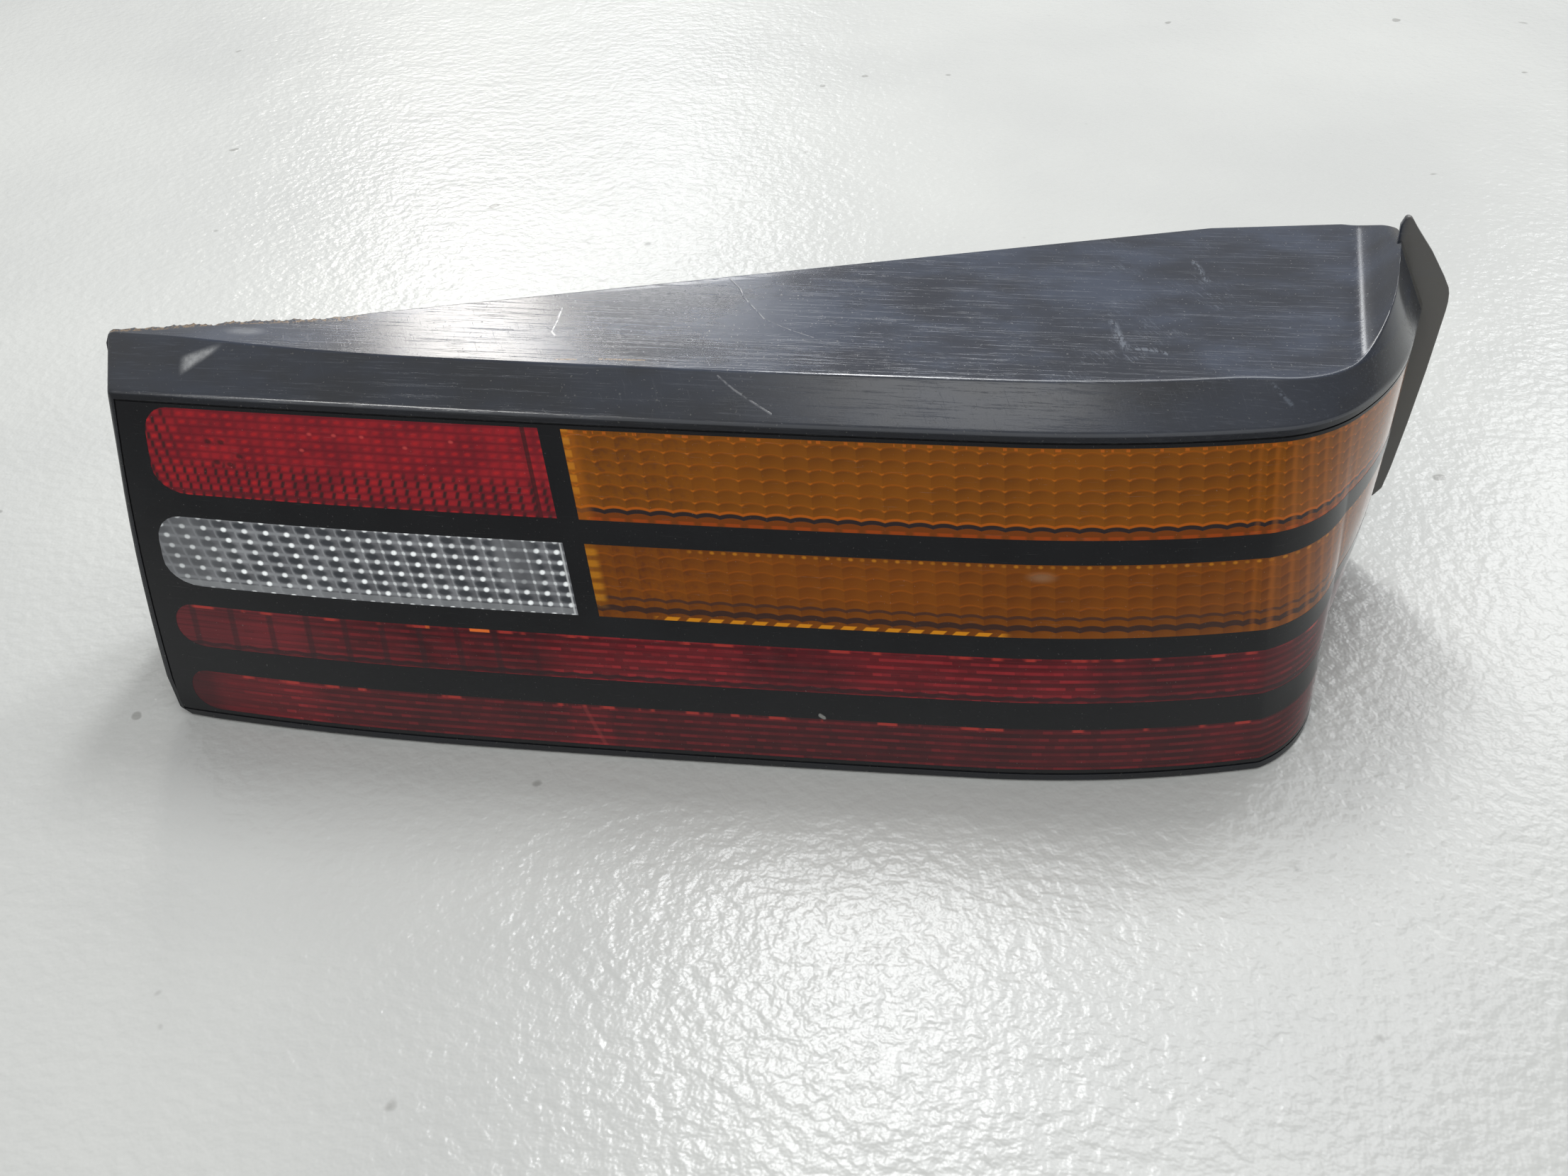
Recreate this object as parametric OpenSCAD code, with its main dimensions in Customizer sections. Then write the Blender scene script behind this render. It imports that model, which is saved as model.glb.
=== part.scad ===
// Wrap-around rear lamp of a coupe, right-hand side, seen from behind the car.
// X runs outwards along the lamp, Y runs forwards into the car, Z is up.

/* [Lens outline] */
// Lean of the lens face from upright at the front, in degrees
rake = 21; // [12:0.5:26]
// Thickness of the lens and its black grid
lens_t = 3; // [2:0.1:4]
// Direction of the outline at its inner end, in degrees
start_turn = -1.5; // [-3:0.1:0]
// Length of the nearly straight front
front_len = 312; // [280:1:350]
// Radius of the slight bow of the front
front_r = 6500; // [4000:100:9000]
// Length of the shoulder before the corner
shoulder_len = 90; // [80:1:110]
// Radius of the shoulder
shoulder_r = 490; // [440:5:700]
// Length of the corner along the outline
corner_len = 34; // [30:1:38]
// Radius of the corner
corner_r = 54; // [48:1:62]
// Length of the side up to the outer end of the lens
side_len = 72; // [64:1:78]
// Radius of the side just after the corner
side_r = 112; // [104:1:150]
// How far the side tucks in at the bottom
side_tuck = 9; // [3:0.5:10]
// How far the bottom edge eases back at the inner end
end_ease = 4.5; // [0:0.5:6]
// Sideways lean of the inner end over the lens height
end_lean = 13; // [6:0.5:18]
// Sideways lean of the upright divider over the lens height
divider_lean = 23; // [10:0.5:28]

/* [Windows] */
// Black strip above the upper row
top_bar = 1.2; // [1:0.1:3]
// Height of the upper row, rear fog and upper indicator
row_1_h = 29.9; // [25:0.1:32]
// Black bar under the upper row
bar_1 = 8.2; // [6:0.1:9]
// Height of the second row, reversing lamp and lower indicator
row_2_h = 24.9; // [22:0.1:27]
// Black bar under the second row
bar_2 = 7.2; // [5:0.1:9]
// Height of the third row, the upper red band
row_3_h = 15.5; // [12:0.1:18]
// Black bar under the third row
bar_3 = 9.4; // [6:0.1:10]
// Height of the fourth row, the lower red band
row_4_h = 14.5; // [12:0.1:17]
// Black margin at the inner end of the lens
margin = 9.5; // [8:0.5:14]
// Black rim at the outer end of the lens
end_rim = 2.5; // [1.5:0.1:4]
// Where the upright divider starts, measured from the inner end
divider_at = 153; // [140:1:165]
// Width of the upright divider
divider_w = 8; // [6:0.5:10]
// Rounding of the inner window corners
window_r = 9; // [4:0.5:10]
// Depth of the moulded flutes behind the windows
flute_d = 1; // [0.4:0.1:1.4]
// Spacing of the moulded flutes
flute_pitch = 9; // [8:0.5:14]

/* [Housing] */
// Height of the sloped band over the lens
band_h = 12; // [8:0.5:14]
// How far the band slopes back at the front
band_run = 16; // [10:0.5:20]
// How far the band slopes back along the side
side_run = 7; // [5:0.5:10]
// How far the band slopes back at the outer end
end_run = 12.9; // [8:0.1:15]
// Wall thickness of the housing
wall = 2.5; // [2:0.1:3.5]
// Width of the rim around the lens opening
rim_w = 2; // [1.6:0.1:2.6]
// Foot under the rim down to the resting face
foot_h = 0.6; // [0.4:0.1:2]
// How far the inner end flares out behind the rim
end_flare = 8; // [3:0.5:9]
// How far the shelf reaches behind the back wall
overhang = 6; // [4:0.5:8]
// Angle of the back wall, in degrees
back_turn = 15.8; // [14:0.1:17]
// Where the back wall bends near the inner end
bend_x = 40; // [30:1:46]
// Depth of the shelf edge at that bend
bend_y = 41; // [39:0.5:46]
// Angle of the short inner part of the back wall, in degrees
inner_turn = 8; // [5:0.5:10]
// How far past the front the straight back edge runs
back_past = 38; // [32:1:42]
// Slope of the part of the shelf turned up at the outer end, in degrees
curl_slope = 52; // [40:1:56]
// Distance from the fold to the outer end
curl_w = 11; // [9:0.5:13]
// Rounding of the fold in the shelf
curl_r = 4; // [3:0.5:6]
// How far the fold runs outwards, in degrees
curl_turn = 7; // [4:0.5:9]
// How far the outer back corner of the shelf stands behind the lens
corner_out = 36; // [34:0.5:38]
// How far the flange stands out of the side
flange_w = 8.1; // [6:0.1:12]
// Height of the flange's tip over the shelf
flange_tip = 23; // [20:0.5:25]
// Thickness of the flange
flange_t = 2.5; // [2:0.1:4]
// How far the flange reaches down below the shelf
flange_drop = 100; // [80:1:112]

/* [Seal and chambers] */
// Width of the sealing joint around the lens
seal_w = 0.6; // [0.4:0.1:1]
// Wall of the metallised chamber inserts
insert_t = 1.5; // [1:0.1:2]
// Clearance between the lens and the inserts
insert_gap = 3; // [2.5:0.1:5]
// Clearance between neighbouring inserts
insert_split = 0.5; // [0.3:0.1:1]

/* [Bulbs and carrier] */
// Radius of the bulb glass
bulb_r = 12; // [9:0.5:12.5]
// Length of a bulb in front of its collar
bulb_len = 28; // [25:0.5:30]
// Radius of the bulb cap
cap_r = 7.5; // [6:0.25:8]
// Length of a bulb cap inside its holder
cap_len = 13; // [10:0.5:14]
// Height of the cap's neck in front of its holder
neck_h = 7; // [5:0.5:8]
// Radius of the bulb collar
collar_r = 9.5; // [9:0.25:10.5]
// Thickness of the bulb collar
collar_t = 1.5; // [1:0.1:2]
// Clearance around the bulb cap in its holder
cap_clear = 0.3; // [0.1:0.05:0.5]
// Clearance around the bulb glass in the wall
glass_clear = 1; // [0.5:0.1:1.5]
// Wall of a holder tube
tube_t = 2.8; // [2.2:0.1:3]
// Length of a holder tube
tube_len = 15; // [14:0.5:17]
// Place of the rear fog and reversing bulbs along the back wall
left_bulb_at = 56; // [54:0.5:60]
// Place of the stop bulb along the back wall
stop_bulb_at = 118; // [105:1:125]
// Place of the indicator bulb along the back wall
turn_bulb_at = 192; // [175:1:205]
// Distance of the tail bulb from the outer end of the front
tail_bulb_in = 54; // [50:1:67]
// Thickness of the carrier plate
plate_t = 3; // [2:0.1:4]
// Where the carrier plate starts along the back wall
plate_from = 32; // [28:0.5:34]
// Distance of the carrier plate from the outer end of the front
plate_in = 28; // [24:0.5:30]
// Distance of the carrier plate from the shelf
plate_drop = 13; // [12:0.5:16]
// Height of the carrier plate's lower edge
plate_low = 10; // [8:0.5:12]
// Radius of the plate corners
plate_r = 6; // [4:0.5:8]
// Thickness of the contact strips
strip_t = 0.8; // [0.5:0.1:1.2]
// Width of the contact strips
strip_w = 7; // [5:0.5:8]
// Radius of the carrier screw shank
screw_r = 1.75; // [1.5:0.05:2]
// Radius of the carrier screw head
screw_head_r = 3.6; // [3.2:0.1:4]
// Height of the carrier screw head
screw_head_h = 2.2; // [1.5:0.1:3]
// Length of the connector shroud
plug_l = 34; // [28:1:38]
// Height of the connector shroud
plug_h = 15; // [13:0.5:17]
// Distance of the connector from the top of the carrier plate
plug_drop = 9; // [6:0.5:12]
// Depth of the connector shroud
plug_d = 14; // [10:0.5:18]
// Wall of the connector shroud
plug_wall = 1.6; // [1.2:0.1:2]
// Number of connector pins
plug_pins = 6; // [4:1:7]
// Width of a connector pin
pin_w = 2.8; // [2:0.1:3]
// Spacing of the connector pins
pin_pitch = 4.6; // [4:0.1:4.8]

/* [Fixings] */
// Radius of the mounting studs
stud_r = 3; // [2.5:0.25:4]
// Free length of the mounting studs
stud_len = 18; // [12:0.5:25]
// Depth of the stud heads in their bosses
stud_hold = 7; // [5:0.5:7.5]
// Radius of the moulded-in stud heads
stud_head_r = 4.5; // [4:0.25:5.5]
// Radius of the stud bosses
boss_r = 8; // [6:0.25:9]
// Height of the stud bosses behind the wall
boss_h = 9; // [8:0.5:12]
// Place of the inner studs along X
stud_in_x = 14; // [8:1:22]
// How far past the front the outer studs stand
stud_past = 25; // [24:0.5:28]
// Height of the lower studs
stud_low_z = 30; // [24:1:40]
// Height of the upper studs
stud_high_z = 98; // [85:1:104]
// Thickness of the foam rings on the studs
ring_t = 3; // [2:0.5:5]
// Clearance between a foam ring and its stud
ring_clear = 1.4; // [1.2:0.1:2]
// Thickness of the foam gasket round the carrier
gasket_t = 5; // [4:0.5:8]
// Width of the foam gasket
gasket_w = 8; // [6:0.5:9]
// Clearance between the gasket and the carrier plate
gasket_gap = 1.5; // [1:0.1:2]
// Radius of the vent cap
vent_r = 4; // [3:0.25:5]
// Length of the vent cap
vent_len = 8; // [6:0.5:12]
// Height of the vent cap over the resting face
vent_z = 66; // [55:1:75]

/* [Hidden] */
$fn = 48;

// Places that go with the length of the front
back_end_x = front_len + back_past;
tail_bulb_at = front_len - tail_bulb_in;
plate_to = front_len - plate_in;
stud_out_x = front_len + stud_past;

// Heights, all over the resting face
lip = seal_w + rim_w;
lens_h = 2 * top_bar + row_1_h + bar_1 + row_2_h + bar_2 + row_3_h + bar_3 + row_4_h;
lens_z = foot_h + lip + lens_h;
seam_z = lens_z + lip;
shelf_z = seam_z + band_h;

// Row limits, measured down from the top edge of the lens
r1a = top_bar;
r1b = r1a + row_1_h;
r2a = r1b + bar_1;
r2b = r2a + row_2_h;
r3a = r2b + bar_2;
r3b = r3a + row_3_h;
r4a = r3b + bar_3;
r4b = r4a + row_4_h;
t_knots = [-lip, -seal_w, 0, r1a, r1b, r2a, r2b, r3a, r3b, r4a, r4b, lens_h,
  lens_h + seal_w, lens_h + lip];

// Outline of the lens top, a chain of arcs with lengths and radii
deg = 180 / PI;
arcs = [[front_len, front_r], [shoulder_len, shoulder_r], [corner_len, corner_r],
  [side_len * 0.7, side_r], [side_len * 3, side_r * 20]];
start_x = -36.9;
start_y = 0.4;
function arc_step(p, a, l, r) = let (b = a + l / r * deg)
  [p[0] + r * (sin(b) - sin(a)), p[1] + r * (cos(a) - cos(b)), b];
function walk(s, i, p, a) = (s <= arcs[i][0] || i == len(arcs) - 1)
  ? arc_step(p, a, s, arcs[i][1])
  : let (q = arc_step(p, a, arcs[i][0], arcs[i][1])) walk(s - arcs[i][0], i + 1, q, q[2]);
function outline(s) = walk(s, 0, [start_x, start_y], start_turn);

// Share of the lean that the outline takes, from the whole at the front to none at the side
function lean_share(a) = pow(cos(min(1.25 * max(a, 0), 90)), 2);
function push(a, t) = t * tan(rake) * lean_share(a)
  - side_tuck * pow(max(t, 0) / lens_h, 4) * (1 - lean_share(a));
function ease(s, t) = end_ease * t / lens_h * pow(max(0, 100 - max(0, s)) / 100, 2);
function slide(s) = s < divider_at
  ? end_lean + (divider_lean - end_lean) * max(s, 0) / divider_at
  : divider_lean * max(0, 1 - (s - divider_at) / (front_len + shoulder_len - divider_at));
function raw(s, t, d) = let (q = outline(s + slide(s) * t / lens_h), f = push(q[2], t) - ease(s, t),
    a = outline(s)[2])
  [q[0] + sin(q[2]) * f - sin(a) * d, q[1] - cos(q[2]) * f + cos(a) * d, lens_z - t];

// Stations along the outline, the lens lies between the second and the last but one
front_n = 15;
inner_n = 9;
s_corner = front_len + shoulder_len;
s_side = s_corner + corner_len;
s_lens = s_side + side_len;
mid_0 = divider_at + divider_w;
stations = concat([-seal_w, 0], [for (i = [0 : inner_n]) margin + i * (divider_at - margin) / inner_n],
  [for (i = [0 : front_n]) mid_0 + i * (s_corner - 20 - mid_0) / front_n],
  [for (i = [1 : 9]) s_corner - 20 + i * (corner_len + 26) / 9],
  [for (i = [1 : 7]) s_side + 6 + i * (side_len - end_rim - 6) / 7], [s_lens, s_lens + seal_w]);
n_st = len(stations);
i_margin = 2;
i_div = i_margin + inner_n;
i_mid = i_div + 1;
i_rim = n_st - 3;
i_end = n_st - 2;

// A point of the lens surface at a station, straight between the row limits
function knot(t) = max([for (k = [0 : len(t_knots) - 2]) if (t_knots[k] <= t + 0.0001) k]);
function at(s, t, d) = let (k = knot(t), a = t_knots[k], b = t_knots[k + 1], f = (t - a) / (b - a))
  raw(s, a, d) * (1 - f) + raw(s, b, d) * f;

// Rounded inner window ends move the margin station inwards near the row limits
rows = [[r1a, r1b], [r2a, r2b], [r3a, r3b], [r4a, r4b]];
function row_r(k) = min(window_r, (rows[k][1] - rows[k][0]) * 0.46);
function row_of(t) = [for (k = [0 : 3]) if (t >= rows[k][0] - 0.001 && t <= rows[k][1] + 0.001) k][0];
function bulge(t) = let (k = row_of(t)) k == undef ? 0 : let (r = row_r(k),
  y = min(r, min(t - rows[k][0], rows[k][1] - t))) r - sqrt(max(0, r * r - (r - y) * (r - y)));
function row_ts(k) = let (r = row_r(k), a = rows[k][0], b = rows[k][1])
  k < 2 ? [a, a + 0.14 * r, a + 0.5 * r, a + r, b - r, b - 0.5 * r, b - 0.14 * r, b]
  : [a, a + 0.4 * r, b - 0.4 * r, b];
function station(i, t) = stations[i] + (i == i_margin ? bulge(t) : 0);
function grid_pt(i, t, d) = at(station(i, t), t, d);
function mix_pt(f, t, d) = let (i = min(floor(f), n_st - 2))
  grid_pt(i, t, d) * (1 - f + i) + grid_pt(i + 1, t, d) * (f - i);

// Closed shell between two grids of points, kept only where a cell is filled
function cell_faces(n, m, fill) = let (k = n * m)
  [for (i = [0 : n - 2]) for (j = [0 : m - 2]) if (fill[i][j])
    let (a = i * m + j, b = a + 1, c = a + m + 1, d = a + m)
    each concat([[a, d, c], [a, c, b], [k + a, k + b, k + c], [k + a, k + c, k + d]],
      (j > 0 && fill[i][j - 1]) ? [] : [[d, a, k + a], [d, k + a, k + d]],
      (j < m - 2 && fill[i][j + 1]) ? [] : [[b, c, k + c], [b, k + c, k + b]],
      (i > 0 && fill[i - 1][j]) ? [] : [[a, b, k + b], [a, k + b, k + a]],
      (i < n - 2 && fill[i + 1][j]) ? [] : [[c, d, k + d], [c, k + d, k + c]])];
module shell(outer, inner, fill) {
  n = len(outer);
  m = len(outer[0]);
  polyhedron(points = [for (g = [outer, inner]) for (r = g) for (p = r) p],
    faces = cell_faces(n, m, fill), convexity = 8);
}

// Open tub with an outer and an inner skin, both given as paths at each station
function strip_cap(m, k, base, flip) = let (na = k + 1, nb = m - k)
  [for (a = [0 : na - 2]) let (b = round(a * (nb - 1) / (na - 1)), c = round((a + 1) * (nb - 1) / (na - 1)))
    each concat([flip ? [base + a, base + a + 1, base + m - b] : [base + a + 1, base + a, base + m - b]],
      c == b ? [] : [flip ? [base + m - b, base + a + 1, base + m - c]
        : [base + a + 1, base + m - b, base + m - c]])];
function skin(n, m, base, flip) = [for (i = [0 : n - 2]) for (j = [0 : m - 2])
  let (a = base + i * m + j, b = a + 1, c = a + m + 1, d = a + m)
  each (flip ? [[a, d, c], [a, c, b]] : [[a, b, c], [a, c, d]])];
module tub(outer, inner, k_out, k_in) {
  n = len(outer);
  mo = len(outer[0]);
  mi = len(inner[0]);
  q = n * mo;
  o = (n - 1) * mo;
  w = q + (n - 1) * mi;
  rims = [for (i = [0 : n - 2]) let (a = i * mo, b = a + mo, c = q + i * mi, d = c + mi)
    each [[a, b, d], [a, d, c], [b + mo - 1, a + mo - 1, c + mi - 1], [b + mo - 1, c + mi - 1, d + mi - 1]]];
  ends = [[mo - 1, 0, q], [mo - 1, q, q + mi - 1],
    [o, o + mo - 1, w + mi - 1], [o, w + mi - 1, w]];
  polyhedron(points = [for (g = [outer, inner]) for (r = g) for (p = r) p],
    faces = concat(skin(n, mo, 0, false), skin(n, mi, q, true), rims, ends,
      strip_cap(mo - 1, k_out, 0, false), strip_cap(mo - 1, k_out, o, true),
      strip_cap(mi - 1, k_in, q, true), strip_cap(mi - 1, k_in, w, false)), convexity = 10);
}

// Back wall and the back edge of the shelf
function edge_y(x) = x < bend_x ? bend_y + (x - bend_x) * tan(inner_turn)
  : bend_y + (x - bend_x) * tan(back_turn);
function wall_y(x) = edge_y(x) - overhang;
end_pt = outline(s_lens + lip + 6);
end_y = end_pt[1];
end_x = end_pt[0] - end_run;
// The back edge and the back wall bend round from their straight parts to the outer end,
// and the station nearest the bend stands exactly on it
s_turn = front_len + shoulder_len / 5;
s_last = s_lens + lip + 6;
function bend_round(p, c, e, g) = p * (1 - g) * (1 - g) + c * 2 * g * (1 - g) + e * g * g;
function flare(s) = -end_flare * pow(max(0, 1 - (s + lip) / (margin + lip)), 1.4);
function snap(x) = abs(x - bend_x) < (divider_at - margin) / inner_n / 2 ? bend_x : x;
function along_back(s) = let (x = snap(outline(s)[0] + flare(s)), f = (s - s_turn) / (s_last - s_turn),
    x0 = outline(s_turn)[0])
  f <= 0 ? [x, 0] : f <= 0.45 ? [x0 + (back_end_x - x0) * f / 0.45, 0] : [back_end_x, (f - 0.45) / 0.55];
function back_edge(s) = let (q = along_back(s), p = [q[0], edge_y(q[0])],
    c = [end_x - 15, end_y + corner_out])
  q[1] < 0.5 ? p + (c - p) * 2 * q[1]
  : bend_round(c, [end_x - 4, end_y + corner_out + 2], [end_x, end_y + 9], 2 * q[1] - 1);
function back_wall(s, in) = let (q = along_back(s), x = q[0])
  bend_round([x, wall_y(x) - in], [x + 30 - in, wall_y(x) - in],
    [end_pt[0] - side_tuck - 12 - in, end_y - in], q[1]);

// Height of the curled shelf over its flat part
function smooth(f) = let (g = min(1, max(0, f))) g * g * (3 - 2 * g);
function curl(x, y) = let (d = x - end_x + curl_w + (end_y - y) * tan(curl_turn))
  tan(curl_slope) * (d < -curl_r ? 0 : d < curl_r ? (d + curl_r) * (d + curl_r) / (4 * curl_r) : d);
function run(s) = band_run + (side_run - band_run) * smooth((s - s_corner + 15) / (corner_len + 25))
  + (end_run - side_run) * pow(max(0, s - s_side - 10) / (s_last - s_side - 10), 1.2);
function crease(s) = let (q = outline(s)) [q[0] + flare(s) - sin(q[2]) * run(s), q[1] + cos(q[2]) * run(s)];

function house_outer(s) = let (c = crease(s), b = back_edge(s),
    f = raw(s, -lip, 0), g = raw(s, lens_h + lip, 0), h = raw(s, lens_h + lip, 1.2),
    top = [c[0], c[1], shelf_z + curl(c[0], c[1])], w = back_wall(s, 0))
  concat([f, f * 0.955 + top * 0.045 + [0, 0, 0.5], f * 0.08 + top * 0.92 + [0, 0, 0.1]],
    [for (v = [0.02, 0.2, 0.4, 0.6, 0.8, 1]) let (p = c * (1 - v) + b * v)
      [p[0], p[1], shelf_z + curl(p[0], p[1])]],
    [[b[0], b[1], shelf_z - wall + curl(b[0], b[1])],
     [w[0], w[1], shelf_z - wall + curl(w[0], w[1])], [w[0], w[1], 0],
     [h[0], h[1], 0], g]);
function house_inner(s) = let (c = crease(s),
    f = raw(s, -seal_w, 0), f2 = raw(s, -seal_w, lens_t + 1),
    g = raw(s, lens_h + seal_w, 0), g2 = raw(s, lens_h + seal_w, lens_t + 1),
    w = back_wall(s, wall),
    e = w * 0.1 + c * 0.9)
  concat([f, f2],
    [for (v = [0, 0.35, 0.7, 1]) let (p = e * (1 - v) + w * v)
      [p[0], p[1], shelf_z - wall + curl(p[0], p[1]) - (v == 0 ? 1.5 : 0)]],
    [[w[0], w[1], wall], g2, g]);

s_house = concat([-lip], [for (i = [1 : n_st - 2]) stations[i]], [s_lens + lip, s_last]);
s_room = concat([-seal_w], [for (i = [1 : n_st - 2]) stations[i]], [s_lens + seal_w / 2, s_lens + seal_w]);

// Places everything with the middle of the lamp over the origin
left_x = start_x - lip - end_flare;
right_x = end_pt[0] + flange_w;
front_y = raw(front_len * 0.67, lens_h + lip, 0)[1];
rear_y = wall_y(stud_out_x) + boss_h + stud_len;
module seat() translate([-(left_x + right_x) / 2, -(front_y + rear_y) / 2, 0]) children();

// Local frame of the back wall, X along it, Y out of its back face
module on_wall(q, z, out) translate([bend_x, wall_y(bend_x), 0]) rotate([0, 0, back_turn])
  translate([q, out, z]) children();
function wall_q(x) = (x - bend_x) / cos(back_turn);
wall_n = wall * cos(back_turn);

// Chamber heights, from the lens top down
c1 = r1b + (bar_1 - insert_split) / 2;
c2 = c1 + insert_split;
c3 = r2b + (bar_2 - insert_split) / 2;
c4 = c3 + insert_split;
c5 = lens_h - top_bar;
fog_z = lens_z - (top_bar + c1) / 2;
reverse_z = lens_z - (c2 + c3) / 2;
turn_z = lens_z - (top_bar + c3) / 2;
tail_z = lens_z - (c4 + c5) / 2;
bulb_at = [[left_bulb_at, fog_z], [left_bulb_at, reverse_z], [turn_bulb_at, turn_z],
  [stop_bulb_at, tail_z], [tail_bulb_at, tail_z]];
module glass_hole(k) on_wall(bulb_at[k][0], bulb_at[k][1], -wall * 3)
  rotate([-90, 0, 0]) cylinder(r = bulb_r + glass_clear, h = wall * 6);
tube_r = cap_r + cap_clear;
plate_top = shelf_z - plate_drop;
screw_in = screw_head_r + 0.8;
screw_at = [[plate_from + screw_in, plate_low + 10], [plate_from + screw_in, (fog_z + reverse_z) / 2],
  [plate_to - 6, plate_top - 12], [plate_to - 6, (plate_low + plate_top) / 2 + 6]];
stud_at = [[stud_in_x, stud_low_z], [stud_in_x, stud_high_z],
  [stud_out_x, stud_low_z], [stud_out_x, stud_high_z]];
vent_at = plate_to + gasket_gap + gasket_w + vent_r + 2;

// The torn edge near the inner end, a ragged cut along the shelf's back edge
function tear(k) = 0.6 + 1.1 * abs(sin(k * 77)) + 0.9 * abs(sin(k * 131 + 20)) + (k == 9 ? 2.6 : 0);
tear_n = 26;
tear_step = (bend_x - left_x) / tear_n;
tear_x = left_x + end_flare;
module torn_edge() translate([0, 0, shelf_z - wall * 2]) linear_extrude(wall * 4)
  polygon(concat([[left_x - wall, edge_y(left_x) + bend_y]],
    [for (k = [0 : tear_n]) let (x = tear_x + k * tear_step)
      [x, edge_y(x) - tear(k) * smooth((tear_n - k) / 10 + 0.1)]],
    [[tear_x + (tear_n + 1) * tear_step, edge_y(bend_x) + bend_y]]));

// Flange at the outer end, its front face follows the end of the side
flange_y = end_y - flange_t;
module flange() translate([0, end_y, 0]) rotate([90, 0, 0]) linear_extrude(flange_t)
  polygon([[end_x - 1.5, shelf_z + 0.35 * flange_tip], [end_x - 2, shelf_z + flange_tip - 3.5],
    [end_x - 0.3, shelf_z + flange_tip], [end_x + 1.5, shelf_z + flange_tip - 0.5],
    [end_x + 4.3, shelf_z + flange_tip - 4.5], [end_pt[0] + flange_w - 9.7, shelf_z + 0.41 * flange_tip],
    [end_pt[0] + flange_w - 3.3, shelf_z - 0.6], [end_pt[0] + flange_w - 0.4, shelf_z - 0.07 * flange_drop],
    [end_pt[0] + flange_w, shelf_z - 0.14 * flange_drop],
    [end_pt[0] + flange_w - 1.3, shelf_z - 0.4 * flange_drop],
    [end_pt[0] + flange_w - 3, shelf_z - 0.63 * flange_drop],
    [end_pt[0] + flange_w - 5, shelf_z - 0.85 * flange_drop],
    [end_pt[0] + flange_w - 6.4, shelf_z - flange_drop + 5],
    [end_pt[0] - side_tuck * 0.6 - 1, shelf_z - flange_drop],
    [end_pt[0] - side_tuck * 0.6 - 4, shelf_z - flange_drop], [end_pt[0] - 3, shelf_z - 20]]);

module bosses() for (p = stud_at) difference() {
  translate([p[0], wall_y(p[0]) - boss_r, p[1]]) rotate([-90, 0, 0])
    cylinder(r = boss_r, h = boss_h + boss_r);
  if (p[0] < bend_x) translate([bend_x, wall_y(bend_x), 0]) rotate([0, 0, inner_turn])
    translate([(p[0] - bend_x) / cos(inner_turn) - 3 * boss_r, -1 - 4 * boss_r, 0]) boss_cut();
  else on_wall(wall_q(p[0]) - 3 * boss_r, 0, -1 - 4 * boss_r) boss_cut();
}
module boss_cut() cube([6 * boss_r, 4 * boss_r, shelf_z * 2]);
module stud_bores() for (p = stud_at) translate([p[0], wall_y(p[0]) + boss_h - stud_hold, p[1]])
  rotate([-90, 0, 0]) cylinder(r = stud_head_r, h = stud_hold + 1);

module housing() seat() color("#3b3f48") difference() {
  union() {
    tub([for (s = s_house) house_outer(s)], [for (s = s_room) house_inner(s)], 8, 5);
    flange();
    bosses();
  }
  for (k = [0 : len(bulb_at) - 1]) glass_hole(k);
  for (p = screw_at) on_wall(p[0], p[1], 0) rotate([90, 0, 0]) translate([0, 0, -1])
    cylinder(r = screw_r, h = wall);
  on_wall(vent_at, vent_z, -wall * 2) rotate([-90, 0, 0]) cylinder(r = vent_r / 2, h = wall * 3);
  stud_bores();
  torn_edge();
}

// Black grid, the windows are left open
grid_ts = concat([0], row_ts(0), row_ts(1), row_ts(2), row_ts(3), [lens_h]);
function grid_fill(i, j) = let (t = (grid_ts[j] + grid_ts[j + 1]) / 2, k = row_of(t))
  k == undef || i < i_margin || i >= i_rim || (k < 2 && i == i_div);
module lens_grid() seat() color("#1c1d20") shell(
  [for (i = [1 : i_end]) [for (t = grid_ts) grid_pt(i, t, 0)]],
  [for (i = [1 : i_end]) [for (t = grid_ts) grid_pt(i, t, lens_t)]],
  [for (i = [1 : i_end - 1]) [for (j = [0 : len(grid_ts) - 2]) grid_fill(i, j)]]);

// One coloured window, smooth outside and fluted inside
module window(k, from, to, ts) {
  n = round((stations[to] - stations[from]) / flute_pitch) * 2;
  cuts = [for (q = [0 : n]) from + (to - from) * q / n];
  fs = concat([for (i = [from : to]) i], [for (f = cuts) if (abs(f - round(f)) > 0.12) f]);
  pos = [for (q = [0 : len(fs) - 1]) quick_sorted(fs)[q]];
  shell([for (f = pos) [for (t = ts) mix_pt(f, t, 0)]],
    [for (q = [0 : len(pos) - 1]) [for (t = ts)
      mix_pt(pos[q], t, lens_t + ((q % 2 == 1 && q < len(pos) - 1) ? flute_d : 0))]],
    [for (q = [0 : len(pos) - 2]) [for (j = [0 : len(ts) - 2]) true]]);
}
function quick_sorted(v) = len(v) < 2 ? v : let (p = v[floor(len(v) / 2)])
  concat(quick_sorted([for (x = v) if (x < p) x]), [p], quick_sorted([for (x = v) if (x > p) x]));
module lens_fog() seat() color("#a8222b") window(0, i_margin, i_div, row_ts(0));
module lens_reverse() seat() color("#c9ccd0") window(1, i_margin, i_div, row_ts(1));
module lens_amber_upper() seat() color("#b8701c") window(0, i_mid, i_rim, [r1a, r1b]);
module lens_amber_lower() seat() color("#b8701c") window(1, i_mid, i_rim, [r2a, r2b]);
module lens_red_upper() seat() color("#7c1a25") window(2, i_margin, i_rim, row_ts(2));
module lens_red_lower() seat() color("#6c1823") window(3, i_margin, i_rim, row_ts(3));

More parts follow.
